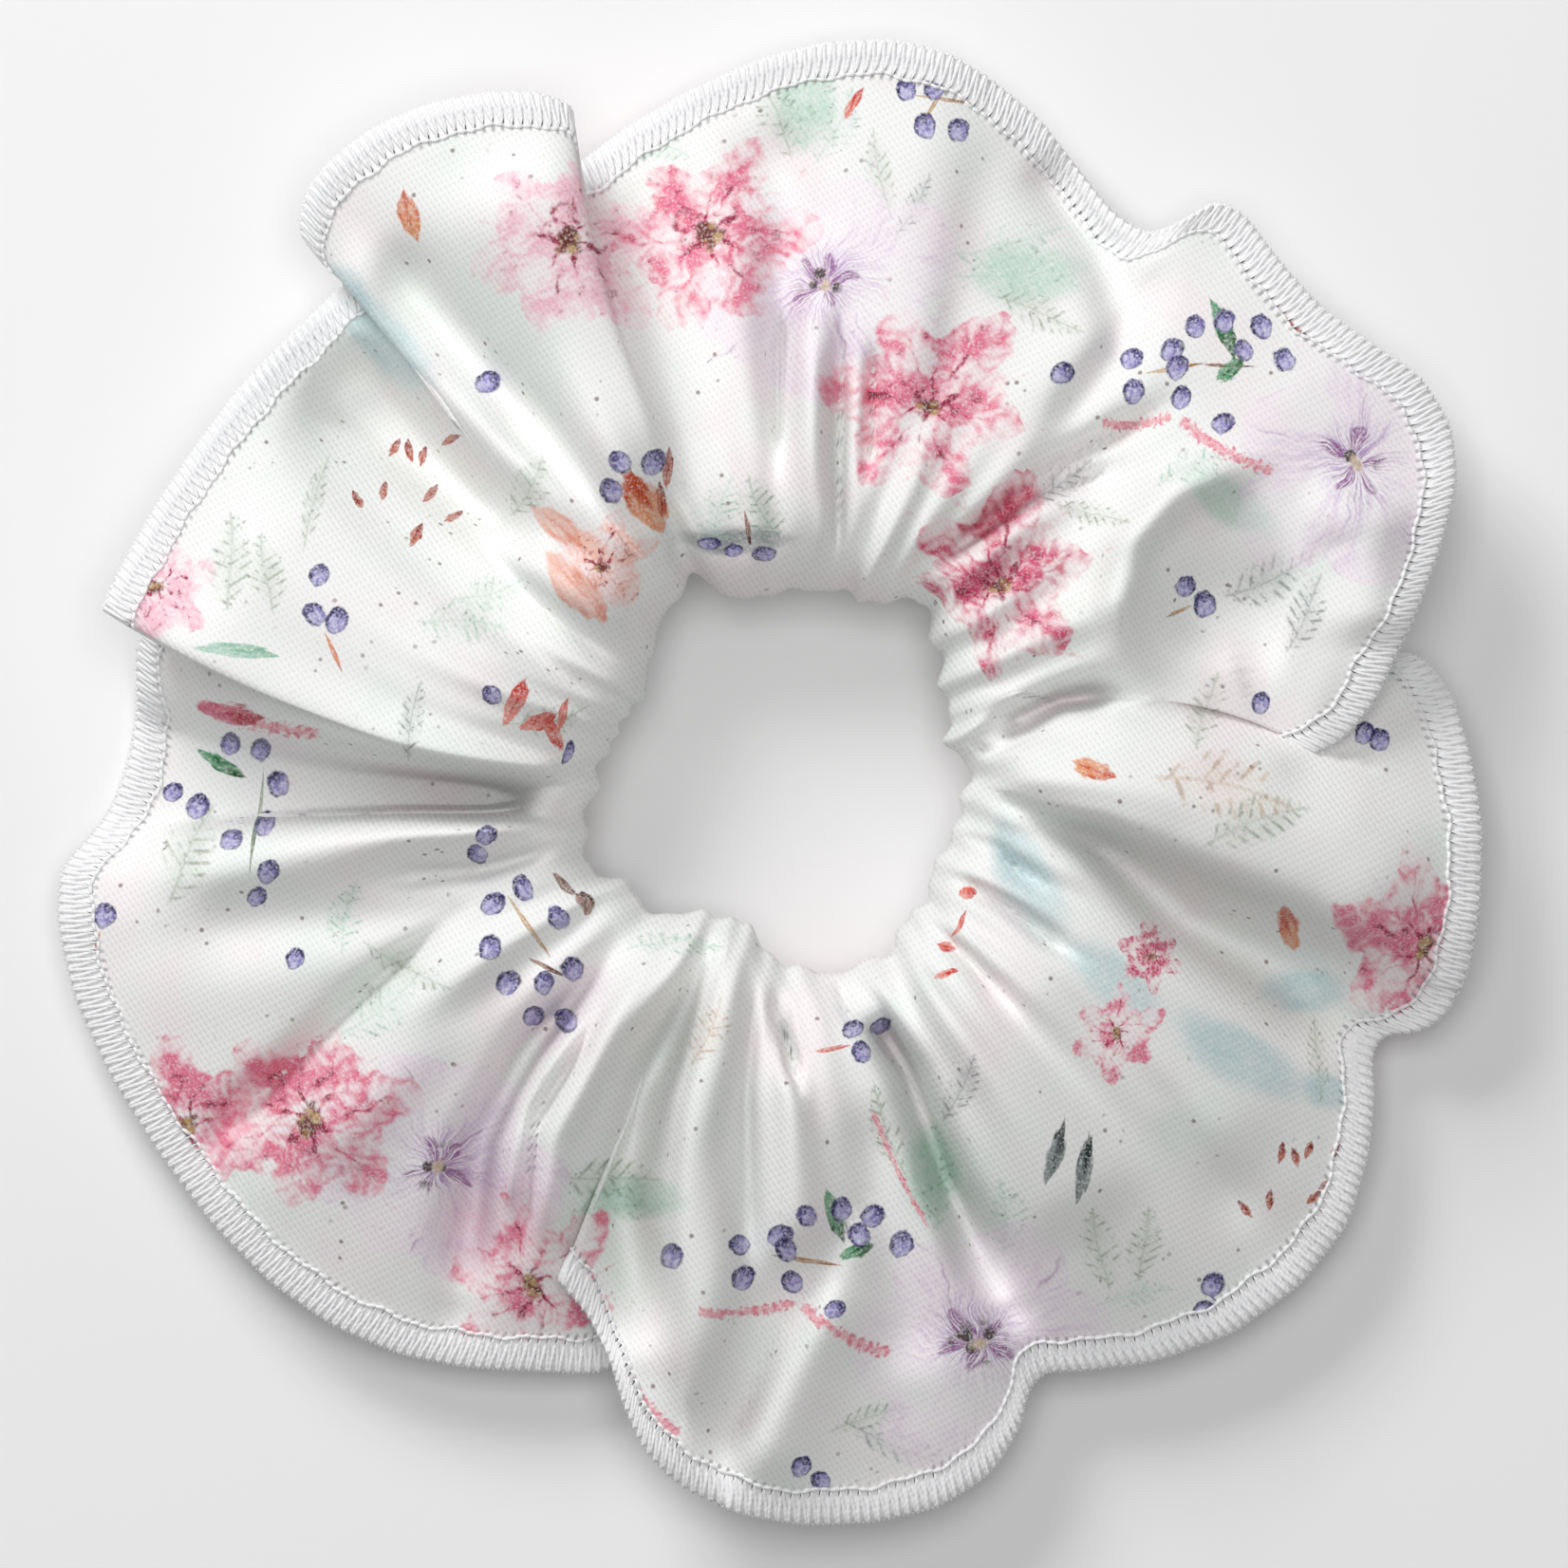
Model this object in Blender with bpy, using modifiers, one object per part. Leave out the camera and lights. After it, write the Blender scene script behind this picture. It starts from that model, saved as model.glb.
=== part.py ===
"""A gathered print-cloth scrunchie, lying flat with its ring axis along Z.

One strip of cloth is folded lengthwise round a loose elastic loop. Its two raw edges lie one
above the other at the outside of the ring, where three overlock threads bind them. The ring
stretches along X, so every loop is modelled as a left half, which stays, and a right half,
which is pulled away from it.

Angles run anticlockwise from +X, seen from above. Lengths are in metres.
"""
import bmesh
import bpy
import numpy as np

MM = 0.001

# The ring. The hole sits a little off the middle of the ruffle's outline.
RING_CENTRE = (0.4 * MM, 1.1 * MM)
CLEARANCE = 0.3 * MM
CLOTH_WALL = 0.6 * MM
PLEATS = 21
PLEAT_DEPTH = 0.7 * MM
PLEAT_HEIGHT = 1.1 * MM
PLEAT_REACH = 0.30
PLEAT_FOOT = 4.0 * MM
PLEAT_FADE = 8.0 * MM
ANGLE_STEPS = 50

# Ruffle edge: the crest of each lobe and the notch on each side of it, (degrees, mm).
RIM_LOBES = ((0, 58.6), (11, 54.0), (28, 63.4), (44, 60.4), (51, 60.4), (58, 56.4), (80, 62.0),
             (103, 56.0), (121, 62.8), (138, 56.0), (151, 55.8), (164, 57.8), (178, 55.0),
             (192, 62.0), (225, 61.8), (243, 56.0), (252, 54.4), (264, 61.8), (278, 63.2),
             (294, 57.0), (303, 60.0), (317, 61.8), (335, 55.8), (346, 60.4))
# Hole edge without its pleats, (degrees, mm).
HOLE_EDGE = ((0, 16.0), (48, 18.2), (95, 14.8), (116, 17.0), (155, 13.0), (203, 17.2),
             (250, 13.2), (300, 17.8), (330, 16.0))

# Section through the folded cloth, from the upper raw edge round the hole side to the lower
# raw edge: (share of the way from hole to rim, height in mm above the table).
SECTION = ((1.00, 7.0), (0.90, 8.9), (0.76, 12.4), (0.58, 16.6), (0.40, 20.0), (0.24, 21.2),
           (0.10, 18.9), (0.015, 14.0), (0.0, 10.6), (0.02, 6.4), (0.09, 2.2), (0.18, 0.3),
           (0.30, 0.3), (0.44, 0.3), (0.58, 0.3), (0.76, 1.6), (0.90, 4.2), (1.00, 5.8))
RIM_WAVES = 10
RIM_WAVE_HEIGHT = 1.6 * MM
RIM_WAVE_START = 0.7

# Overlock threads along the raw edges.
BORDER_WIDTH = 2.4 * MM
LOOPER_THICKNESS = 0.3 * MM
NEEDLE_THREAD_WIDTH = 0.4 * MM
NEEDLE_LINE_INSET = 3.1 * MM

# Elastic loop inside the hole-side fold.
ELASTIC_WIDTH = 6.0 * MM
ELASTIC_THICKNESS = 1.1 * MM
ELASTIC_INSET = 3.2 * MM
ELASTIC_HEIGHT = 10.6 * MM
ELASTIC_LAP_ANGLE = 205.0
ELASTIC_LAP_LENGTH = 10.0 * MM
LAP_STITCH_WIDTH = 0.4 * MM
LAP_STITCH_BARS = 6

# Side seam that closes the strip into a loop.
SIDE_SEAM_ANGLE = 172.0
SEAM_THREAD_WIDTH = 0.4 * MM
SEAM_THREAD_POINTS = 26

CLOTH_WHITE = (0.86, 0.85, 0.87, 1.0)
THREAD_WHITE = (0.92, 0.92, 0.92, 1.0)
ELASTIC_WHITE = (0.88, 0.87, 0.84, 1.0)


def smooth_loop(points, angles):
    """Radius at each angle on a smooth closed curve through (degrees, mm) points."""
    knots = np.array([p[0] for p in points], dtype=float)
    values = np.array([p[1] for p in points], dtype=float) * MM
    knots = np.concatenate((knots[-2:] - 360.0, knots, knots[:2] + 360.0))
    values = np.concatenate((values[-2:], values, values[:2]))
    slopes = np.gradient(values, knots)
    at = np.mod(angles, 360.0)
    i = np.clip(np.searchsorted(knots, at, side="right") - 1, 0, len(knots) - 2)
    span = knots[i + 1] - knots[i]
    t = (at - knots[i]) / span
    return ((2 * t**3 - 3 * t**2 + 1) * values[i] + (t**3 - 2 * t**2 + t) * span * slopes[i]
            + (3 * t**2 - 2 * t**3) * values[i + 1] + (t**3 - t**2) * span * slopes[i + 1])


def hole_radius(angles):
    return smooth_loop(HOLE_EDGE, angles)


def section_points():
    """The section as two rows: share of the way from hole to rim, and height."""
    share = np.array([p[0] for p in SECTION])
    height = np.array([p[1] for p in SECTION]) * MM
    return share, height


def cloth_surface(angles, share, height):
    """Points of the folded cloth's middle surface, one row for each angle.

    Share and height are one section for the whole ring, or a row of their own for each angle.
    Pleats push the hole edge in and out and ripple the top layer; they fade towards the rim
    and leave the underside flat. The rim rises and falls in long waves.
    """
    angle = angles[:, None]
    share = np.atleast_2d(share)
    height = np.atleast_2d(height)
    wave = np.sin(np.radians(angle) * PLEATS)
    near_hole = np.exp(-(share / PLEAT_REACH) ** 2)
    upper = np.clip((height - PLEAT_FOOT) / PLEAT_FADE, 0.0, 1.0)
    near_rim = np.clip(share - RIM_WAVE_START, 0.0, 1.0) / (1.0 - RIM_WAVE_START)
    radius = hole_radius(angle) + (smooth_loop(RIM_LOBES, angle) - hole_radius(angle)) * share
    radius = radius + PLEAT_DEPTH * wave * near_hole * upper
    z = height + PLEAT_HEIGHT * wave * upper * np.sin(np.pi * share) ** 2
    z = z + RIM_WAVE_HEIGHT * np.sin(np.radians(angle) * RIM_WAVES) * near_rim
    x = RING_CENTRE[0] + radius * np.cos(np.radians(angle))
    y = RING_CENTRE[1] + radius * np.sin(np.radians(angle))
    return np.stack((x, y, z), axis=-1)


def surface_normals(grid):
    """Unit normals of a grid of points, from the cross product of its two directions."""
    along = np.gradient(grid, axis=0)
    across = np.gradient(grid, axis=1)
    normal = np.cross(across, along)
    return normal / np.linalg.norm(normal, axis=-1, keepdims=True)


def half_angles(side, steps=ANGLE_STEPS):
    """Angles of the left or right half, from the top of the split round to its bottom."""
    start = 90.0 if side == "left" else -90.0
    return np.linspace(start, start + 180.0, steps + 1)


def open_split(grid, side):
    """Draw the two end rows of a half back from the split plane, to leave the clearance."""
    shift = -CLEARANCE / 2 if side == "left" else CLEARANCE / 2
    grid = grid.copy()
    grid[0, :, 0] = RING_CENTRE[0] + shift
    grid[-1, :, 0] = RING_CENTRE[0] + shift
    return grid


def material(name, colour, roughness):
    finish = bpy.data.materials.new(name)
    finish.use_nodes = True
    shader = finish.node_tree.nodes["Principled BSDF"]
    shader.inputs["Base Color"].default_value = colour
    shader.inputs["Roughness"].default_value = roughness
    shader.inputs["Metallic"].default_value = 0.0
    return finish


def grid_object(name, grid, finish, collection, thickness):
    """A sheet through a grid of points, with its wall put on both sides by Solidify."""
    rows, columns = grid.shape[:2]
    mesh = bpy.data.meshes.new(name)
    model = bmesh.new()
    corners = [model.verts.new(point) for point in grid.reshape(-1, 3)]
    for i in range(rows - 1):
        for j in range(columns - 1):
            first = i * columns + j
            model.faces.new((corners[first], corners[first + columns],
                             corners[first + columns + 1], corners[first + 1]))
    bmesh.ops.recalc_face_normals(model, faces=model.faces)
    model.to_mesh(mesh)
    model.free()
    mesh.shade_smooth()
    piece = bpy.data.objects.new(name, mesh)
    piece.data.materials.append(finish)
    collection.objects.link(piece)
    wall = piece.modifiers.new("wall", "SOLIDIFY")
    wall.thickness = thickness
    wall.offset = 0.0
    return piece


def thread_object(name, points, width, finish, collection):
    """A round thread through the given points, as a curve with closed ends."""
    curve = bpy.data.curves.new(name, "CURVE")
    curve.dimensions = "3D"
    curve.bevel_depth = width / 2
    curve.bevel_resolution = 2
    curve.use_fill_caps = True
    line = curve.splines.new("POLY")
    line.points.add(len(points) - 1)
    line.points.foreach_set("co", np.column_stack((points, np.ones(len(points)))).ravel())
    piece = bpy.data.objects.new(name, curve)
    curve.materials.append(finish)
    collection.objects.link(piece)
    return piece


def raw_edge(side, lower):
    """The cloth's middle surface near one raw edge: rows round the ring, and three columns.

    The columns are the raw edge, the border's inner side, and the needle line.
    """
    share, height = section_points()
    if lower:
        share, height = share[::-1], height[::-1]
    angles = half_angles(side)
    reach = smooth_loop(RIM_LOBES, angles) - hole_radius(angles)
    shares = 1.0 - np.array([0.0, BORDER_WIDTH, NEEDLE_LINE_INSET]) / reach[:, None]
    heights = np.interp(shares, share[3::-1], height[3::-1])
    return open_split(cloth_surface(angles, shares, heights), side)


def off_the_cloth(edge, distance, lower, side):
    """The same rows lifted off the cloth, upwards on the top layer and downwards below."""
    normals = surface_normals(edge)
    outward = -1.0 if lower else 1.0
    facing = np.where(normals[..., 2:] * outward < 0.0, -1.0, 1.0)
    return open_split(edge + normals * facing * distance, side)


def cover_half(side, finish, collection):
    share, height = section_points()
    grid = cloth_surface(half_angles(side), share, height)
    return grid_object("cover_" + side, open_split(grid, side), finish, collection, CLOTH_WALL)


def looper_half(name, side, lower, finish, collection):
    """One looper's band of thread, which lies over one face of the border."""
    lift = CLOTH_WALL / 2 + CLEARANCE + LOOPER_THICKNESS / 2
    band = off_the_cloth(raw_edge(side, lower), lift, lower, side)[:, :2]
    grid_object(name + "_" + side, band, finish, collection, LOOPER_THICKNESS)


def needle_thread_half(side, finish, collection):
    lift = CLOTH_WALL / 2 + CLEARANCE + NEEDLE_THREAD_WIDTH / 2
    line = off_the_cloth(raw_edge(side, False), lift, False, side)[:, 2]
    thread_object("overlock_needle_thread_" + side, line, NEEDLE_THREAD_WIDTH, finish, collection)


def elastic_surface(angles, depth, height):
    """A point of the elastic at a given depth behind its hole-side face and a given height."""
    radius = hole_radius(angles) + ELASTIC_INSET + depth
    x = RING_CENTRE[0] + radius * np.cos(np.radians(angles))
    y = RING_CENTRE[1] + radius * np.sin(np.radians(angles))
    return np.column_stack((x, y, np.full(len(angles), height)))


def lap_thickness(angles):
    """Two layers where the ends overlap, one layer elsewhere, with a short ramp between."""
    radius = hole_radius(angles) + ELASTIC_INSET
    distance = np.abs(np.mod(angles - ELASTIC_LAP_ANGLE + 180.0, 360.0) - 180.0)
    off_lap = np.radians(distance) * radius - ELASTIC_LAP_LENGTH / 2
    return ELASTIC_THICKNESS * (2.0 - np.clip(off_lap / (2 * MM), 0.0, 1.0))


def elastic_half(side, finish, collection):
    """A flat band on edge, carried round the ring as a four-sided section."""
    angles = half_angles(side)
    thick = lap_thickness(angles)
    low = ELASTIC_HEIGHT - ELASTIC_WIDTH / 2
    high = ELASTIC_HEIGHT + ELASTIC_WIDTH / 2
    rings = np.stack((elastic_surface(angles, 0.0, low), elastic_surface(angles, thick, low),
                      elastic_surface(angles, thick, high), elastic_surface(angles, 0.0, high)),
                     axis=1)
    rings = open_split(rings, side)
    mesh = bpy.data.meshes.new("elastic_" + side)
    model = bmesh.new()
    corners = [[model.verts.new(point) for point in ring] for ring in rings]
    for ring, following in zip(corners, corners[1:]):
        for k in range(4):
            model.faces.new((ring[k], ring[(k + 1) % 4], following[(k + 1) % 4], following[k]))
    model.faces.new(corners[0][::-1])
    model.faces.new(corners[-1])
    bmesh.ops.recalc_face_normals(model, faces=model.faces)
    model.to_mesh(mesh)
    model.free()
    mesh.shade_smooth()
    mesh.set_sharp_from_angle(angle=np.radians(40.0))
    piece = bpy.data.objects.new("elastic_" + side, mesh)
    mesh.materials.append(finish)
    collection.objects.link(piece)


def elastic_lap_stitches(finish, collection):
    """A zigzag of thread over the rim side of the elastic's lap."""
    reach = np.degrees(0.4 * ELASTIC_LAP_LENGTH / (hole_radius(ELASTIC_LAP_ANGLE) + ELASTIC_INSET))
    angles = ELASTIC_LAP_ANGLE + np.linspace(-reach, reach, LAP_STITCH_BARS)
    depth = 2 * ELASTIC_THICKNESS + CLEARANCE + LAP_STITCH_WIDTH / 2
    points = elastic_surface(angles, depth, ELASTIC_HEIGHT)
    points[:, 2] += np.where(np.arange(LAP_STITCH_BARS) % 2, 1.0, -1.0) * 0.35 * ELASTIC_WIDTH
    thread_object("elastic_lap_stitches", points, LAP_STITCH_WIDTH, finish, collection)


def side_seam_thread(finish, collection):
    """One thread across the whole width of the strip, along the inside of the cover."""
    angles = SIDE_SEAM_ANGLE + np.array([-1.0, 0.0, 1.0])
    grid = cloth_surface(angles, *section_points())
    line = grid[1]
    normals = surface_normals(grid)[1]
    inward = np.sign(((line.mean(axis=0) - line) * normals).sum(axis=1))[:, None]
    line = line + normals * inward * (CLOTH_WALL / 2 + CLEARANCE + SEAM_THREAD_WIDTH / 2)
    line = line[2:-2]
    steps = np.linspace(0.0, len(line) - 1.0, SEAM_THREAD_POINTS)
    points = np.column_stack([np.interp(steps, np.arange(len(line)), axis) for axis in line.T])
    thread_object("side_seam_thread", points, SEAM_THREAD_WIDTH, finish, collection)


def build():
    for item in list(bpy.data.objects):
        bpy.data.objects.remove(item, do_unlink=True)
    scrunchie = bpy.data.collections.new("scrunchie")
    bpy.context.scene.collection.children.link(scrunchie)
    cloth = material("print_cloth", CLOTH_WHITE, 0.62)
    overlock_thread = material("overlock_thread", THREAD_WHITE, 0.55)
    seam_thread = material("seam_thread", THREAD_WHITE, 0.6)
    elastic = material("braided_elastic", ELASTIC_WHITE, 0.7)
    for side in ("left", "right"):
        cover_half(side, cloth, scrunchie)
        looper_half("overlock_upper_looper", side, False, overlock_thread, scrunchie)
        looper_half("overlock_lower_looper", side, True, overlock_thread, scrunchie)
        needle_thread_half(side, overlock_thread, scrunchie)
        elastic_half(side, elastic, scrunchie)
    elastic_lap_stitches(seam_thread, scrunchie)
    side_seam_thread(seam_thread, scrunchie)


build()
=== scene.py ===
# %% [markdown]
# # A gathered scrunchie in printed cloth
#
# A scrunchie is one strip of cloth folded lengthwise round a loop of elastic. The fold sits at
# the hole, and the two raw edges lie on each other at the outside, where an overlock machine
# binds them with three threads. The cloth is much longer than the elastic, so it bunches at the
# hole and ruffles at the rim, and some lobes of the ruffle lie over their neighbours.
#
# This lesson builds it in the order of making: the camera and light, the cloth, the print on
# it, the elastic, and the threads. Shapes are worked out as whole numpy arrays.

import bpy
import numpy as np
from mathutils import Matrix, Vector


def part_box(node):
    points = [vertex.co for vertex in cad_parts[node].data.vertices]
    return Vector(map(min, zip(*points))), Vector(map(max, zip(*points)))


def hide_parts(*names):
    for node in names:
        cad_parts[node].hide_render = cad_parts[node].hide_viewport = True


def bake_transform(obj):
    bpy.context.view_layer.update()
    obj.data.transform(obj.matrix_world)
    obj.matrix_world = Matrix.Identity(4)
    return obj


MM = 0.001
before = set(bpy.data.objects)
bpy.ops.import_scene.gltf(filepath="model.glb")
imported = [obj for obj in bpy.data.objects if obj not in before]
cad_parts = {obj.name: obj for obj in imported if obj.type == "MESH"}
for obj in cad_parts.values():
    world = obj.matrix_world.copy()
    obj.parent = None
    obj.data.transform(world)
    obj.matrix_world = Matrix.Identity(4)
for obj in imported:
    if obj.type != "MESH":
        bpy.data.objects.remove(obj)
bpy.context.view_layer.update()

# %% [markdown]
# ## Where the ring is
#
# The two halves of the cover meet on the plane through the ring's axis, so the frame itself
# says where that plane is. The hole sits a little above the middle of the ruffle. From here on,
# lengths are in millimetres from the ring's axis and from the table, and a mesh is turned into
# metres only when it is made.

# %% The ring's axis and the stretch
HOLE_ABOVE_MIDDLE = 1.1

left_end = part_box("cover_left")[1][0]
right_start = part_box("cover_right")[0][0]
RING = np.array([(left_end + right_start) / 2, HOLE_ABOVE_MIDDLE * MM, 0.0])
print("ring axis at", RING.round(5))


def to_world(points):
    """Millimetres from the ring's axis, turned into metres in the frame: scale, then shift."""
    return np.asarray(points) * MM + RING


def make_mesh(name, points, faces, smooth=True):
    """A mesh object at the origin from an array of points in millimetres and an array of faces."""
    mesh = bpy.data.meshes.new(name)
    points = to_world(points)
    faces = np.asarray(faces)
    mesh.vertices.add(len(points))
    mesh.vertices.foreach_set("co", points.astype(np.float32).ravel())
    mesh.loops.add(faces.size)
    mesh.loops.foreach_set("vertex_index", faces.astype(np.int32).ravel())
    mesh.polygons.add(len(faces))
    mesh.polygons.foreach_set("loop_start", np.arange(len(faces), dtype=np.int32) * faces.shape[1])
    mesh.update(calc_edges=True)
    mesh.polygons.foreach_set("use_smooth", np.full(len(faces), smooth))
    piece = bpy.data.objects.new(name, mesh)
    bpy.context.scene.collection.objects.link(piece)
    print(name, len(points), "points,", len(faces) * (faces.shape[1] - 2), "triangles")
    return piece


def bridge_halves(piece):
    """Bake the piece's transform into its mesh."""
    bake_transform(piece)


def store(piece, name, kind, values):
    """Keep an array on a mesh: for each point if it has a row for each, else for each corner."""
    mesh = piece.data
    per_point = values.size == values.shape[-1] * len(mesh.vertices)
    layer = mesh.attributes.new(name, kind, "POINT" if per_point else "CORNER")
    slot = "color" if kind == "FLOAT_COLOR" else "vector"
    layer.data.foreach_set(slot, values.astype(np.float32).ravel())


# %% [markdown]
# ## Camera, floor and light
#
# The scrunchie lies on a pale table and is seen from straight above through a long lens, so
# that near and far parts keep the same scale. Big soft lamps and a bright even sky keep the
# white cloth's shadows pale, and a lamp from one side gives the folds their direction.

# %% Camera and floor
VIEW_CENTRE = np.array([0.72, -1.12, 10.0])
VIEW_WIDTH = 132.2
VIEW_DISTANCE = 1400.0
SENSOR = 36.0

lens = bpy.data.cameras.new("camera")
lens.sensor_width = SENSOR
lens.lens = SENSOR * VIEW_DISTANCE / VIEW_WIDTH
lens.clip_end = 10.0
camera = bpy.data.objects.new("camera", lens)
camera.location = to_world(VIEW_CENTRE + np.array([0.0, 0.0, VIEW_DISTANCE]))
bpy.context.scene.collection.objects.link(camera)
bpy.context.scene.camera = camera

FLOOR_HALF = 4000.0
floor = make_mesh("floor", [(-FLOOR_HALF, -FLOOR_HALF, 0.0), (FLOOR_HALF, -FLOOR_HALF, 0.0),
                            (FLOOR_HALF, FLOOR_HALF, 0.0), (-FLOOR_HALF, FLOOR_HALF, 0.0)],
                  [(0, 1, 2, 3)], smooth=False)


def principled(name, colour=(0.8, 0.8, 0.8, 1.0), roughness=0.5, **sockets):
    """A material with one Principled shader, its constants set on its own sockets."""
    finish = bpy.data.materials.new(name)
    finish.use_nodes = True
    shader = finish.node_tree.nodes["Principled BSDF"]
    shader.inputs["Base Color"].default_value = colour
    shader.inputs["Roughness"].default_value = roughness
    for socket, value in sockets.items():
        shader.inputs[socket.replace("_", " ")].default_value = value
    return finish, shader


floor_paint, _ = principled("pale_floor", (0.93, 0.93, 0.93, 1.0), 0.9)
floor.data.materials.append(floor_paint)

# %% Light


def soft_lamp(name, place, aim, size, power):
    """A square area lamp at a place, turned so that its face looks at the aim point."""
    light = bpy.data.lights.new(name, "AREA")
    light.size = size * MM
    light.energy = power
    lamp = bpy.data.objects.new(name, light)
    lamp.location = to_world(place)
    facing = Vector(np.subtract(aim, place).astype(float))
    lamp.rotation_mode = "QUATERNION"
    lamp.rotation_quaternion = facing.to_track_quat("-Z", "Y")
    bpy.context.scene.collection.objects.link(lamp)


SKY_STRENGTH = 0.215

soft_lamp("overhead", (0, 100, 1000), (0, 0, 0), 500, 3.6)
soft_lamp("side", (-330, 540, 470), (0, 0, 0), 340, 3.6)
sky = bpy.data.worlds.new("studio")
sky.use_nodes = True
background = sky.node_tree.nodes["Background"]
background.inputs["Color"].default_value = (1.0, 1.0, 1.0, 1.0)
background.inputs["Strength"].default_value = SKY_STRENGTH
bpy.context.scene.world = sky
bpy.context.scene.view_settings.view_transform = "Standard"

# %% [markdown]
# ## The ruffle's edge
#
# The edge is drawn first, because every lobe of the ruffle hangs from it. Going clockwise, it
# runs over ten lobes. Where a lobe lies over the next one, the edge turns back under itself for
# a short way and comes out again lower down, so the list holds a few hidden points too. A
# Gaussian over the length of the edge rounds the straight runs between the points.

# %% Points of the edge
EDGE_POINTS = (
    # top lobe, from under its neighbour's fold
    (-16.5, 51.2, 6), (-12.6, 54.2, 7), (-7.8, 57, 8), (-1.6, 59.8, 9), (4, 61.3, 9),
    (9.5, 61.6, 9), (14.5, 60.5, 9), (18.6, 58, 8), (22.4, 54.8, 8), (25.6, 50.5, 8),
    (28.4, 46.8, 9), (31.6, 45, 10),
    # small peak and upper-right lobe
    (34.6, 46.4, 10), (37.2, 48.2, 9), (39.6, 46.8, 9), (41.8, 43.6, 10), (45.6, 39.2, 11),
    (50, 36, 12), (54.2, 33.2, 12), (56.8, 29, 12), (57.2, 24, 13), (55.8, 18.6, 13),
    (53.8, 13.4, 14), (52, 9.6, 14), (50.2, 5.6, 14), (47.6, 2.6, 14), (44.6, 1.2, 13),
    # back under the upper-right lobe
    (45.4, 3.6, 10), (48.6, 7, 8), (51.4, 10.2, 7),
    # right lobe
    (54.6, 9.6, 7), (57, 6.4, 8), (58.6, 1, 9), (59.5, -4.6, 9), (59.3, -11, 9),
    (58.3, -17.2, 8), (56.4, -20.8, 8), (53.8, -22.2, 8), (51.4, -22, 7), (50.2, -23.8, 7),
    # lower-right lobe
    (50.5, -27.4, 7), (50, -32.4, 7), (48.2, -38.4, 7), (44.2, -43.4, 7), (38.6, -47.4, 7),
    (32, -49.8, 7), (26, -50.6, 7), (22.6, -50.6, 7), (21.2, -52.2, 8),
    # bottom lobe
    (20.6, -55.4, 8), (18.2, -59.2, 8), (13.8, -62, 9), (8.2, -63.3, 9), (2.6, -63.5, 9),
    (-3, -62.6, 9), (-7.8, -60.4, 10), (-11, -57.2, 11), (-12.7, -53.4, 12),
    (-13.8, -49.6, 12), (-15.6, -45.8, 12), (-18.6, -42.4, 12),
    # back under the bottom lobe
    (-17, -43.8, 9), (-14, -47.6, 7), (-13, -50, 6), (-15.4, -50.9, 5),
    # lower-left lobe
    (-20.6, -50.6, 6), (-26.2, -50.3, 6), (-31.8, -49.2, 6), (-37.4, -46.8, 6),
    (-42.6, -43.2, 6), (-47.4, -38.4, 6), (-52.2, -32, 6), (-56.2, -25.6, 6),
    (-59.2, -19, 6), (-60.6, -12.8, 6), (-60.4, -8.4, 5),
    # left lobe
    (-58.4, -6.2, 4), (-56.4, -3.8, 3), (-54.8, 0.6, 2.5), (-54, 5.2, 2.5), (-54, 10, 3),
    # back under the upper-left lobe
    (-52.6, 14, 5), (-50.6, 17.6, 6), (-51.8, 18.2, 8), (-54.2, 15.4, 11), (-56.8, 13, 14),
    # upper-left lobe
    (-55.2, 16.4, 14), (-52.6, 21.2, 13), (-49, 26.8, 13), (-45, 32.2, 12),
    (-41.4, 36.2, 10), (-37.6, 39.8, 8),
    # back under the top-left lobe
    (-34.6, 42.6, 7), (-32.6, 45, 8), (-34.8, 45.6, 9), (-38.2, 43.2, 10), (-40.2, 45.4, 11),
    # top-left lobe
    (-39.4, 48.8, 13), (-37.2, 51.4, 14), (-33.8, 53.9, 15), (-29, 55.9, 16),
    (-23.8, 56.8, 16), (-19.8, 56.8, 16), (-17, 55.8, 15),
    # back under the top-left lobe, to where the top lobe starts
    (-17.6, 52.6, 12), (-20.6, 49.6, 9), (-20.4, 48, 7),
)
EDGE_ROUNDING = 0.9
COLUMNS = 660


def smooth_round(values, reach):
    """Gaussian average round a closed loop of rows, by damping its waves: exp(-(k reach)^2 / 2)."""
    waves = np.fft.fft(values, axis=0)
    turns = np.fft.fftfreq(len(values)) * 2 * np.pi
    damping = np.exp(-0.5 * (turns * reach) ** 2)
    return np.fft.ifft((waves.T * damping).T, axis=0).real


def length_along(points):
    """Length from the start of a polyline, or of each of many, to each of its points."""
    gaps = np.linalg.norm(np.diff(points, axis=-2), axis=-1)
    return np.concatenate((np.zeros(gaps.shape[:-1] + (1,)), np.cumsum(gaps, axis=-1)), axis=-1)


def at_lengths(points, along, cuts):
    """The places on a polyline at some lengths along it."""
    return np.column_stack([np.interp(cuts, along, axis) for axis in points.T])


def even_loop(points, count):
    """A closed polyline through the points, cut into equal lengths."""
    closed = np.vstack((points, points[:1]))
    along = length_along(closed)
    cuts = np.linspace(0.0, along[-1], count, endpoint=False)
    return at_lengths(closed, along, cuts), along[-1]


FINE = 4 * COLUMNS
fine_edge, fine_length = even_loop(np.array(EDGE_POINTS, float), FINE)
rounded = smooth_round(fine_edge, EDGE_ROUNDING * FINE / fine_length)
edge, edge_length = even_loop(rounded, COLUMNS)
print("edge length", round(edge_length, 1), "mm")

# %% [markdown]
# ## Which part of the hole each piece of edge gathers to
#
# A column of cloth runs from the hole to one point of the edge. The hole has no folds that
# turn back, so a column's angle at the hole is the edge's angle averaged over a stretch of
# edge long enough to iron the turns out. Three of the folds lean over on their way in.

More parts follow.
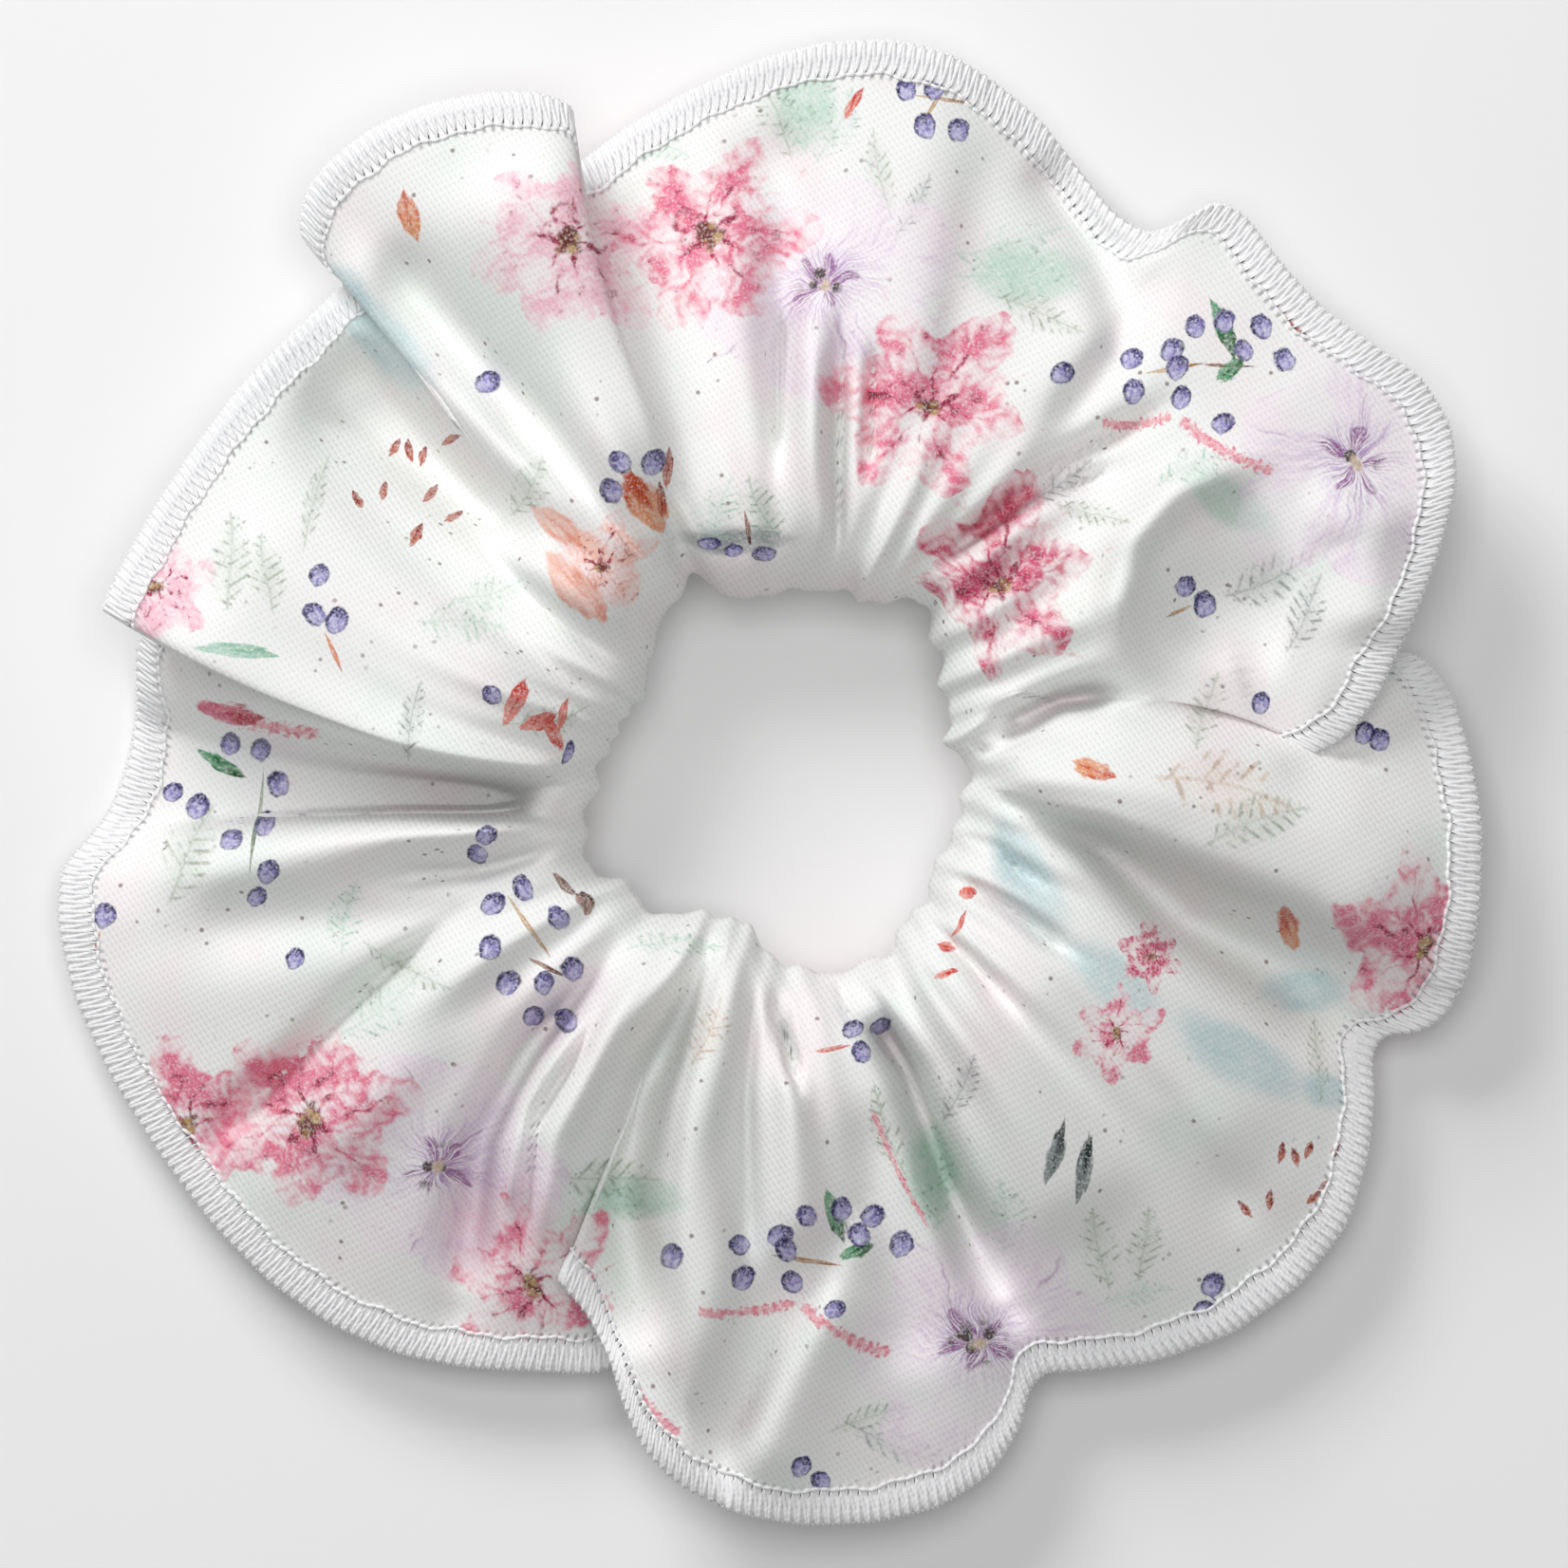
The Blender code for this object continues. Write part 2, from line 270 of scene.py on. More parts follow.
# %% Columns from hole to edge
HOLE_POINTS = ((0, 16.4), (8, 14.8), (20, 15.3), (34, 16.5), (48, 18.8), (60, 16.6), (70, 15.8),
               (84, 15.4), (97, 14.4), (105, 15.2), (112, 17.6), (121, 16.8), (133, 14.8),
               (145, 13.1), (157, 12.6), (168, 14.2), (180, 14.6), (190, 15.8), (204, 17.8),
               (214, 16.4), (222, 15.4), (229, 16.2), (238, 13.9), (250, 12.8), (262, 13.5),
               (275, 16.8), (288, 17.7), (300, 17.9), (313, 16.8), (330, 15.6), (346, 15.8))
GATHER_REACH = 15.0
HOLE_ROUNDING = 3.0
# Where a fold leans along the hole: its corner on the edge, degrees, and millimetres of edge
LEANS = (((-56.8, 13.0), 18.0, 40.0), ((-18.6, -42.4), -6.0, 18.0), ((45.0, 1.6), 7.0, 20.0))


def hole_radius(angle):
    """Radius of the hole in millimetres at an angle in radians, through the hole's points."""
    knots = np.radians([p[0] for p in HOLE_POINTS])
    radii = np.array([p[1] for p in HOLE_POINTS])
    return np.interp(np.mod(angle, 2 * np.pi), knots, radii, period=2 * np.pi)


edge_angle = np.unwrap(np.arctan2(edge[:, 1], edge[:, 0]))
steady = np.linspace(0.0, 2 * np.pi, COLUMNS, endpoint=False)
reach = GATHER_REACH * COLUMNS / edge_length
column_angle = smooth_round(edge_angle + steady, reach) - steady
for (x, y), lean, lean_reach in LEANS:
    corner = np.hypot(edge[:, 0] - x, edge[:, 1] - y).argmin()
    apart = np.mod(np.arange(COLUMNS) - corner + COLUMNS / 2, COLUMNS) - COLUMNS / 2
    column_angle += np.radians(lean) * np.exp(-(apart * edge_length / COLUMNS / lean_reach) ** 2)
column_reach = smooth_round(np.hypot(edge[:, 0], edge[:, 1]), reach)
fold_radius = smooth_round(hole_radius(column_angle), HOLE_ROUNDING)
print("smallest step at the hole", round(float(-np.diff(column_angle).max()), 4), "rad")

# %% [markdown]
# ## The section of the folded cloth
#
# Followed from the upper raw edge, the cloth rises over the bulk of its gathers, dives round
# the hole side, and comes back along the table to the lower raw edge. The section is a short
# list of points, rounded and cut into rows. The upper layer, which is the one that shows, gets
# about twice as many rows as the lower one.

# %% Section
# Share of the way from the hole to the edge, and height
SECTION_TOP = ((1.00, 8.3), (0.97, 8.4), (0.94, 8.7), (0.86, 10.4), (0.72, 12.9), (0.54, 15.6),
               (0.38, 17.3), (0.24, 18.2), (0.13, 17.4), (0.045, 14.6), (0.0, 10.0))
SECTION_UNDER = ((0.03, 6.0), (0.09, 3.6), (0.20, 4.2), (0.42, 4.4), (0.62, 4.2), (0.78, 4.8),
                 (0.90, 6.6), (0.95, 7.7), (1.00, 7.9))
TOP_ROWS = 48
UNDER_ROWS = 25
EDGE_HEIGHT = 8.1
WIDTH_OF_CLOTH = 43.0


def smooth_line(points, count):
    """An open line through the points, cut evenly, after its corners are cut off three times."""
    line = np.array(points, float)
    for _ in range(3):
        middle = (line[1:] + line[:-1]) / 2
        pairs = np.column_stack((0.5 * (line[:-1] + middle), 0.5 * (middle + line[1:])))
        line = np.vstack((line[:1], pairs.reshape(-1, 2), line[-1:]))
    along = length_along(line * (WIDTH_OF_CLOTH, 1.0))
    return at_lengths(line, along, np.linspace(0.0, along[-1], count)), along[-1]


top_rows, top_length = smooth_line(SECTION_TOP, TOP_ROWS)
under_rows, under_length = smooth_line(SECTION_TOP[-1:] + SECTION_UNDER, UNDER_ROWS + 1)
section = np.vstack((top_rows, under_rows[1:]))
share = section[:, 0]
height = section[:, 1]
is_top = np.arange(len(section)) < TOP_ROWS
print("cloth from edge to edge", round(top_length + under_length, 1), "mm")

# %% [markdown]
# ## Folds
#
# The large folds are where they are by chance, so each is given one by one: a line in plan, how
# wide it is at its two ends, and how far it lifts or lowers the cloth. A ridge or valley is a
# rounded hump across its line, a crease is a sharp one, and a step lifts one side of its line
# and lowers the other, as where one fold lies against the next. Lines run from the hole out.

# %% Fold list
FOLD_STRENGTH = 1.4
# Share of a fold's length over which it grows, and over which it dies away, and its least share
GROWING = 0.26
DYING = 0.2
LEAST = 0.2
# Ridges stay under this, and at the hole, where folds crowd together, under a smaller limit,
# which grows over some millimetres from a radius near the hole's own
RIDGE_LIMIT = 6.0
LIMIT_AT_HOLE = 0.42 * RIDGE_LIMIT
CROWDED_RADIUS = 17.0
CROWDED_WIDTH = 15.0
# kind, height, half-width at the start and at the end, points of the line
FOLDS = (
    # top-left lobe
    ("hump", 5, 3, 6.5, ((-10.5, 21), (-15.8, 37), (-23, 53))),
    ("hump", -2, 1.6, 3, ((-17, 25), (-25.5, 34), (-34, 45))),
    ("hump", 1.8, 1.4, 2.4, ((-20, 27), (-28.5, 35), (-37.5, 44))),
    ("step", 3.4, 1.2, 1.6, ((-7.6, 19), (-10.4, 29), (-13.6, 41), (-16.4, 51.8))),
    ("hump", -10, 2, 4.4, ((-18.6, 17.6), (-25.6, 22.8), (-31.4, 28.4), (-39, 35.2))),
    ("step", 4.4, 0.9, 1.6, ((-14, 20.6), (-19.4, 25.6), (-27, 32), (-37.4, 41.4))),
    # upper-left lobe
    ("hump", 2.6, 2, 2.6, ((-12, 11), (-17.6, 15.6), (-24, 22))),
    ("crease", -2.2, 0.9, 0.9, ((-13, 9), (-19, 13.4), (-25.4, 19.6))),
    ("hump", -1.8, 2, 3.4, ((-16, 8.6), (-25.4, 16.6), (-33.6, 23.2), (-42, 30))),
    ("hump", 3.4, 3, 7, ((-17, 4), (-32, 10), (-49, 18))),
    # deep valley between the upper-left and left lobes
    ("hump", -13, 1.2, 3, ((-16.8, -2.8), (-31, -1.8), (-41.5, -1.6), (-54, -0.6))),
    ("step", -9, 0.8, 3.2, ((-17, -1.6), (-31, 0.2), (-38.8, 1.8), (-47, 3.6), (-56, 6.4))),
    ("step", 4, 0.7, 1, ((-17, -4.2), (-31, -3.6), (-41.5, -3.6), (-52, -3.2))),
    ("hump", 3, 1.6, 3, ((-20, 0.4), (-32, 2.6), (-43, 6.4), (-54, 13))),
    # left lobe
    ("hump", 3, 1.8, 4.2, ((-17.6, -4), (-30, -4.6), (-42, -6.6), (-55, -9))),
    ("crease", -2.6, 0.9, 1.4, ((-16.6, -6), (-25, -8.4), (-33.6, -9))),
    ("hump", -1.4, 1.6, 4, ((-24, -10.5), (-36, -12.6), (-50, -13.2))),
    # lower-left lobe
    ("crease", -3.2, 1, 1.8, ((-27, -12), (-35.6, -19.6), (-42, -26), (-47.6, -31.6))),
    ("hump", 1.6, 2, 4, ((-21, -12), (-32, -24), (-40, -34))),
    ("hump", -4.6, 1.2, 2.2, ((-13.6, -14.6), (-20.8, -23.6), (-24.8, -31), (-26.4, -45))),
    ("hump", 1.8, 0.9, 1.2, ((-15.4, -19.6), (-21, -28), (-22.6, -38))),
    ("crease", -1.6, 0.7, 0.9, ((-14.8, -20.6), (-20.2, -29.4), (-21.2, -40))),
    ("hump", 3.2, 1.2, 1.8, ((-8, -14.6), (-13.4, -21.6), (-18.6, -31), (-19.6, -41))),
    # bottom lobe
    ("hump", -5, 1.4, 3.4, ((-5.8, -16.4), (-11.4, -27), (-13.4, -36), (-10.4, -50))),
    ("hump", 3.6, 1.6, 3.4, ((-2.6, -14.6), (-6.6, -31), (-6.2, -55))),
    ("crease", -2.4, 0.8, 1.2, ((-1.4, -17), (-2.4, -27), (-2.2, -42))),
    ("hump", 2.2, 1.2, 3, ((1.2, -17.6), (1.8, -30), (2, -42))),
    ("crease", -6, 0.7, 0.7, ((0.2, -18.2), (0.8, -22), (1.9, -26.2))),
    ("crease", -4, 0.6, 0.6, ((4.6, -16.6), (5.6, -18.8), (7, -21.4))),
    ("step", 5.4, 1, 1.3, ((5.4, -41), (0.8, -49), (-4, -60.4))),
    ("step", 4.4, 0.8, 1.4, ((-5, -17.6), (-8, -28), (-8.8, -39), (-8, -50))),
    # between the bottom and lower-right lobes
    ("hump", -8, 1, 2, ((6, -16.8), (11.2, -25.4), (14.6, -35), (19.4, -45.4))),
    ("hump", -1.6, 2, 3.6, ((7, -26), (9.6, -38), (12, -52))),
    # lower-right lobe
    ("hump", 2.4, 2, 5, ((11.6, -16), (19, -26), (27, -40))),
    ("hump", 1.4, 2, 4.5, ((16.6, -12), (30, -24), (42, -34))),
    ("crease", -3, 0.7, 0.8, ((14, -8.4), (19.6, -11.4), (25, -15.6))),
    ("crease", -2.6, 0.7, 0.7, ((14.6, -5), (18.8, -6.6), (22, -9.6))),
    ("crease", -2.2, 0.6, 0.8, ((12.2, -12.2), (16, -15.4), (19.8, -19.8))),
    ("hump", -1, 1.4, 2, ((22, -17), (33, -28), (41, -40))),
    # right lobe
    ("hump", -6.4, 0.9, 4.2, ((19.8, -3), (27, -5.8), (34.4, -12.6), (50.6, -20.6))),
    ("step", 4.6, 0.8, 1.6, ((20.4, -2.2), (26.4, -4.4), (35.4, -8), (43.5, -11.6), (53, -16.4))),
    ("hump", 4.4, 2, 5.4, ((16.2, -0.6), (34, -2.6), (47, -7.4), (56, -14))),
    # between the right and upper-right lobes
    ("hump", -6, 1, 1.4, ((15.4, 0.8), (19.6, 3.8), (24, 5.8), (29, 6.6))),
    ("step", -3.2, 1.2, 1.6, ((24, 5.8), (34.6, 4), (45.4, 1.6))),
    # upper-right lobe
    ("hump", 3.2, 1.5, 1.8, ((29.6, 8), (28.6, 14), (29.8, 19), (33.6, 23.4), (40, 25.8))),
    ("hump", -3, 3, 5, ((33.6, 10), (37, 14), (44, 13))),
    ("hump", 1.8, 2, 3.6, ((44, 24), (50, 20), (50.4, 10))),
    ("crease", -3.2, 0.8, 1.6, ((11.4, 15.8), (17.8, 21.2), (24.4, 26.2), (33, 30.6))),
    ("crease", -2.2, 0.7, 1.1, ((13.4, 17.4), (21, 22.4), (29.4, 25.8))),
    ("hump", -1.4, 2, 3, ((17, 13), (24, 17), (30, 28))),
    # top lobe
    ("hump", -2.2, 1, 4.2, ((0.4, 27), (0.2, 38), (1.4, 47), (-1.8, 56))),
    ("crease", -3.2, 0.8, 1, ((0.2, 25.6), (0.2, 31), (0.6, 39))),
    ("hump", 2.4, 1.2, 1.4, ((3.6, 16.4), (3.2, 27), (3, 38))),
    ("crease", -2.4, 0.6, 0.8, ((5.2, 16.6), (5.4, 27), (5.6, 38))),
    ("crease", -2.4, 0.7, 0.9, ((7.8, 24.6), (8.2, 31), (8.2, 35.6))),
    ("step", 1.6, 1, 2.4, ((12.6, 28), (14.4, 42), (17.4, 56))),
    ("hump", -2, 1.6, 2.6, ((29.4, 36), (27.4, 44), (21.6, 52.6))),
    ("hump", -1.6, 1.6, 2.4, ((22, 27), (28.6, 35), (32, 44))),
)


def along_line(points, line):
    """How far along a line each point lies (0 to 1), and its distance, plus to the line's left."""
    line = np.array(line, float)
    starts, steps = line[:-1], np.diff(line, axis=0)
    lengths = np.linalg.norm(steps, axis=1)
    from_start = points[:, None] - starts[None]
    part = np.clip((from_start * steps).sum(-1) / lengths**2, 0.0, 1.0)
    gap = from_start - part[..., None] * steps
    distance = np.hypot(gap[..., 0], gap[..., 1])
    side = np.sign(steps[:, 0] * from_start[..., 1] - steps[:, 1] * from_start[..., 0])
    nearest = distance.argmin(axis=1)
    pick = np.arange(len(points))
    before = np.concatenate(([0.0], np.cumsum(lengths)))[nearest]
    run = (before + part[pick, nearest] * lengths[nearest]) / lengths.sum()
    return run, distance[pick, nearest] * side[pick, nearest]


def ease(x):
    """Smooth step from 0 to 1: x x (3 - 2 x), held at its ends."""
    x = np.clip(x, 0.0, 1.0)
    return x * x * (3 - 2 * x)


def fold_lift(points, folds=FOLDS):
    """Sum of the folds' heights at each point in plan.

    Across its line a hump is exp(-d^2), a crease 1 / (1 + d^2)^1.5 with d in half-widths, and a
    step is tanh(d) that fades over several half-widths. Each fades out near its two ends. The
    ridges' sum levels off at its limit by tanh, so that where folds add up they make no spikes.
    """
    total = np.zeros(len(points))
    for kind, lift, start, end, line in folds:
        run, distance = along_line(points, line)
        d = distance / (start + (end - start) * run)
        ends = LEAST + (1.0 - LEAST) * ease(run / GROWING) * ease((1.0 - run) / DYING)
        if kind == "hump":
            across = np.exp(-d * d)
        elif kind == "crease":
            across = (1.0 + d * d) ** -1.5
        else:
            across = np.tanh(d) * np.exp(-(d / 4.0) ** 2) * 0.5
        total += FOLD_STRENGTH * lift * ends * across
    from_hole = np.hypot(points[:, 0], points[:, 1]) - CROWDED_RADIUS
    limit = LIMIT_AT_HOLE + (RIDGE_LIMIT - LIMIT_AT_HOLE) * ease(from_hole / CROWDED_WIDTH)
    return np.where(total > 0.0, limit * np.tanh(total / limit), total)


# %% [markdown]
# ## Gathers
#
# Between the large folds the cloth is bunched by the elastic into many small pleats. They are
# tight at the hole and open out. Sums of sines with counts that share no factor never repeat
# the same way round the ring, which is enough for pleats that should look uneven.

# %% Gathers
SCALLOP = 0.6
FINE_PLEAT = 1.25
BROAD_PLEAT = 0.5
UNDER_PLEAT = 4.6
# How fast a column turns from its straight way to its own point of the edge
CARRY = 2.1
# Least height of the cloth, and least gap between its layers
LOWEST = 0.35
LAYER_GAP = 1.2
# The top layer stays above the elastic: its height there, the elastic's place, half its room
OVER_ELASTIC = 14.4
ELASTIC_BEHIND = 3.75
ELASTIC_CLEAR = 2.6


def gathers(angle, pleats):
    """Uneven pleats round the ring, from -1 to 1: a sine whose phase is itself pulled about."""
    sway = 1.1 * np.sin(3 * angle + 0.7) + 0.8 * np.sin(7 * angle + 2.1)
    main = np.sin(pleats * angle + sway)
    return 0.62 * main + 0.38 * np.sin((pleats + 13) * angle - 1.7 * sway)


def soft_floor(values, lowest):
    """Keep values above a lowest one, with a rounded corner: lowest + log(1 + exp(k x)) / k."""
    sharpness = 2.5
    return lowest + np.logaddexp(0.0, (values - lowest) * sharpness) / sharpness


def interpolate_rows(values, shares, at):
    """Values of each column at other shares, on straight lines between its rows."""
    order = np.argsort(shares)
    position = np.interp(at, shares[order], np.arange(len(shares)))
    below = np.minimum(position.astype(int), len(shares) - 2)
    part = position - below
    values = values[:, order]
    return values[:, below] * (1 - part) + values[:, below + 1] * part


def cloth_surface(angle, fold, reach_out, edge, share, height, top):
    """The cloth's outer face: a point for each column and each row of the section.

    In plan a point goes straight out from the hole to the column's mean reach. Near the edge it
    is carried, by its share to the power CARRY, to the edge's own point, which is what lays one
    lobe over another. Its height is the section's, moved with the edge's height, plus the folds
    and the gathers.
    """
    a = angle[:, None]
    s = share[None, :]
    radius = fold[:, None] + (reach_out[:, None] - fold[:, None]) * s
    radius = radius + gathers(a, 23) * SCALLOP * np.exp(-(s / 0.16) ** 2)
    plan = np.stack((radius * np.cos(a), radius * np.sin(a)), axis=-1)
    mean_edge = np.stack((reach_out * np.cos(angle), reach_out * np.sin(angle)), axis=-1)
    plan = plan + (edge[:, None, :2] - mean_edge[:, None]) * (s**CARRY)[..., None]
    lift = fold_lift(plan.reshape(-1, 2)).reshape(plan.shape[:2])
    near_edge = ease((s - 0.42) / 0.58)
    z = height[None, :] + (edge[:, 2:] - EDGE_HEIGHT) * near_edge
    fine = gathers(a, 31) * FINE_PLEAT * np.exp(-(s / 0.36) ** 2)
    fine = fine + gathers(a + 1.0, 17) * BROAD_PLEAT * np.sin(np.pi * s)
    behind_wall = s * (reach_out - fold)[:, None]
    over_elastic = OVER_ELASTIC * np.exp(-((behind_wall - ELASTIC_BEHIND) / ELASTIC_CLEAR) ** 4)
    z_top = (z + (lift + fine) * ease(s / 0.12))[:, top]
    z_top = soft_floor(z_top, np.maximum(LOWEST + LAYER_GAP, over_elastic[:, top]))
    deep = gathers(a + 2.0, 37) * UNDER_PLEAT
    deep = deep * ease((s - 0.04) / 0.14) * (1.0 - ease((s - 0.6) / 0.36))
    z_under = (z + deep + lift * ease((s - 0.7) / 0.3))[:, ~top]
    cloth_above = interpolate_rows(z_top, share[top], share[~top])
    gap = LAYER_GAP * ease((1.0 - share[~top]) / 0.06) + 0.2
    z_under = cloth_above - gap - soft_floor(cloth_above - gap - z_under, 0.0)
    z = np.concatenate((z_top, soft_floor(z_under, LOWEST)), axis=1)
    return np.concatenate((plan, z[..., None]), axis=-1)


cloth = cloth_surface(column_angle, fold_radius, column_reach, edge, share, height, is_top)
ROW_COUNT = cloth.shape[1]
print("cloth grid", cloth.shape, "height", cloth[..., 2].min().round(2), cloth[..., 2].max().round(2))

# %% Cloth mesh
CLOTH_THICKNESS = 0.28


def grid_normals(grid):
    """Unit normals of a grid closed along its rows' direction, by central differences."""
    along = np.roll(grid, -1, axis=0) - np.roll(grid, 1, axis=0)
    across = np.gradient(grid, axis=1)
    normal = np.cross(across, along)
    return normal / np.maximum(np.linalg.norm(normal, axis=-1, keepdims=True), 1e-9)


def ring_faces(columns, rows, flip=False):
    """Faces between neighbouring columns and rows of a grid that closes on itself."""
    i, j = np.meshgrid(np.arange(columns), np.arange(rows - 1), indexing="ij")
    k = (i + 1) % columns
    quad = np.stack((i * rows + j, i * rows + j + 1, k * rows + j + 1, k * rows + j), axis=-1)
    quad = quad.reshape(-1, 4)
    return quad[:, ::-1] if flip else quad


normals = grid_normals(cloth)
if normals[:, TOP_ROWS // 2, 2].mean() < 0:
    normals = -normals
inner = cloth - normals * CLOTH_THICKNESS
points = np.concatenate((cloth.reshape(-1, 3), inner.reshape(-1, 3)))
outer_count = COLUMNS * ROW_COUNT
outer_faces = ring_faces(COLUMNS, ROW_COUNT)
inner_faces = ring_faces(COLUMNS, ROW_COUNT, flip=True) + outer_count
first = np.arange(COLUMNS) * ROW_COUNT
last = first + ROW_COUNT - 1
next_first, next_last = np.roll(first, -1), np.roll(last, -1)
rim_top = np.column_stack((first, next_first, outer_count + next_first, outer_count + first))
rim_under = np.column_stack((last, outer_count + last, outer_count + next_last, next_last))
cover = make_mesh("cover_print_cloth", points,
                  np.concatenate((outer_faces, inner_faces, rim_top, rim_under)))


# %% [markdown]
# ## The print
#
# The cloth is white and printed in watercolour: pink poinsettias, pale lilac flowers, bunches
# of blue berries, sprigs, falling leaves and washes of teal. A real printer lays the same few
# motifs down again and again, turned and shifted, and so does this lesson. Each motif is drawn
# once, as a node group that knows only its own little coordinates. A stamp then says where a
# motif lies, how large, how far it is turned, and in which ink.
#
# The stamps reach the material as attributes: a face near a stamp holds, at its corners, their
# places in that stamp's coordinates. Stamps that nearly touch go into different layers.

# %% Inks and where the stamps lie
GREEN = (62, 150, 96)
MINT = (184, 216, 200)
SAGE = (150, 170, 140)
SLATE = (96, 112, 112)
TEAL = (184, 214, 216)
ORANGE = (226, 138, 78)
RUST = (188, 92, 62)
CORAL = (228, 120, 104)
ROSE = (226, 112, 136)
PEACH = (244, 196, 180)
BROWN = (150, 104, 84)
STRAW = (206, 172, 130)
BERRY = (136, 128, 190)
PINK = (232, 120, 148)
DEEP_PINK = (214, 84, 118)
PALE_PINK = (244, 190, 206)
LILAC = (212, 178, 220)

# Centre, radius, turn in degrees, ink
POINSETTIAS = (
    (-17.4, 44.2, 9.4, 20, PALE_PINK), (-5.6, 45, 9.6, 70, PINK), (12.6, 30.6, 10, 10, PINK),
    (18.6, 15.4, 9.8, 40, DEEP_PINK), (-49.8, -30.2, 8.6, 0, PINK), (-39, -29.4, 9.6, 35, PINK),
    (-20.6, -43.4, 8.6, 80, PINK), (54.6, -15, 9, 15, PINK), (-52, 15.4, 5.6, 50, PALE_PINK),
    (31.6, -15.6, 3.2, 25, DEEP_PINK), (28.6, -22, 4.4, 60, PINK), (-14.6, 17.2, 5.4, 5, PEACH),
)
LILACS = (
    (4.2, 41, 11.5, 25, LILAC), (49, 25.8, 12, 60, LILAC), (-28.6, -33.4, 11, 10, LILAC),
    (17, -48.2, 11.5, 40, LILAC),
)
BERRIES = (
    (9.7, 60.6), (11, 57.4), (13.4, 57.6), (12.6, 54.3), (15.4, 54), (30, 34.7), (33.4, 35.4),
    (33.8, 33.9), (35.3, 37.4), (37.8, 37.9), (40.9, 37.4), (39.4, 35.4), (42.8, 34.6),
    (30.1, 31.9), (34.1, 31.4), (37.6, 29.2), (-38.2, 16.4), (-38.6, 13.1), (-36.7, 12.6),
    (-46.2, 2.3), (-43.6, 1.8), (-42.2, -1.1), (-43.1, -4.5), (-45.8, -5.8), (-42.6, -8.5),
    (-43.6, -10.6), (-51.1, -1.8), (-49, -3), (-24.2, -5.4), (-25, -7), (-21.1, -9.8),
    (-23.7, -11.2), (-18.1, -12.2), (-23.9, -14.8), (-22.4, -17.8), (-19.4, -17.8), (-17, -16.6),
    (-20.3, -20.6), (-17.6, -21), (6.4, -21.4), (8.8, -21.4), (7.2, -23.6), (-3, -39.8), (0.4, -39),
    (0.9, -40.2), (2.6, -37.3), (5.5, -36.8), (8.2, -37.4), (7, -39), (10.6, -39.8), (-2.7, -42.6),
    (1.4, -43), (5, -45.2), (2.2, -58.6), (3.8, -59.8), (36.9, -43.4), (36.2, -45.7), (34.5, 15.5),
    (36.1, 14), (49.6, 3.2), (50.9, 2.6), (-13, 25.8), (-10.2, 25.8), (-13.8, 23.4), (-3.4, 17.8),
    (-0.9, 16.9), (-5.4, 18.6), (-24.2, 32.7), (24.1, 33.4), (40.8, 5.7), (-40.4, -15.8),
    (-56.7, -12.2), (-23.7, 6.3), (-15.9, 1.4), (-8.7, -40.8),
)
# Centre, half length, half width, turn in degrees, ink
LEAVES = (
    (-30.6, 46.6, 2.4, 1, 105, ORANGE), (26.6, 0.2, 2.2, 1, -20, ORANGE),
    (43.4, -13.3, 2.4, 1, 110, ORANGE), (-11.2, 22.4, 3.4, 1.7, 125, ORANGE),
    (-16.6, 15.4, 4.6, 1.7, -48, PEACH), (-18.4, 20.4, 3, 1.2, -40, PEACH),
    (37.6, 37.2, 2.9, 0.85, -68, GREEN), (38.2, 33.8, 1.8, 0.8, 40, GREEN),
    (-46.9, 0.6, 2.6, 0.7, -30, GREEN), (5, -37.4, 2.7, 0.8, -72, GREEN),
    (6.8, -40.4, 1.8, 0.7, 20, GREEN), (-45, 9.9, 4, 0.7, -6, MINT),
    (23.4, -32, 3.2, 0.8, 74, SLATE), (25.8, -33.2, 3.2, 0.8, 80, SLATE),
    (-14.6, -10.2, 1.9, 0.9, 60, BROWN), (-16, -8.6, 1.6, 0.8, -30, BROWN),
    (15, -9.4, 1.6, 0.6, -20, CORAL), (14.6, -12.2, 1.3, 0.5, 60, CORAL),
    (13.8, -14.2, 1.5, 0.5, -30, CORAL), (14.2, -17, 1.3, 0.5, 10, CORAL),
    (-21.8, 5.8, 2.4, 0.9, 65, CORAL), (-19.8, 4.2, 1.9, 0.8, 20, CORAL),
    (-18.2, 3, 2.2, 0.8, -50, CORAL), (-17.4, 4.6, 1.6, 0.6, 80, CORAL),
    (-45.8, 5, 3.4, 1, -10, DEEP_PINK), (43.4, 38.8, 3, 1, -62, RUST), (-9, 25.4, 2, 0.5, 85, RUST),
    (-9.6, 22.6, 1.8, 0.5, 95, RUST), (6.6, 56.2, 1.8, 0.5, 60, CORAL),
    (-32.3, 27.4, 0.95, 0.4, 60, RUST), (-31, 27.2, 1.15, 0.4, 100, RUST),
    (-29.9, 26.7, 1, 0.4, 75, RUST), (-27.4, 27.9, 1, 0.4, 20, RUST),
    (-35.2, 22.8, 1, 0.4, 120, RUST), (-33, 23.6, 1.05, 0.4, 80, RUST),
    (-29.2, 23.5, 1.1, 0.45, 55, RUST), (-27.2, 21.5, 1, 0.4, 30, RUST),
    (-30.2, 19.8, 1.2, 0.55, 65, RUST), (42.6, -32.2, 1, 0.4, 80, RUST),
    (43.8, -32.6, 1, 0.4, 110, RUST), (45, -32, 0.9, 0.4, 70, RUST),
    (47.4, -32.1, 1, 0.4, 60, RUST), (39.6, -37, 1, 0.4, 130, RUST),
    (41.7, -36.2, 1, 0.4, 85, RUST), (45.4, -36, 0.9, 0.4, 40, RUST),
    (46.6, -35, 0.9, 0.4, 20, RUST),
)
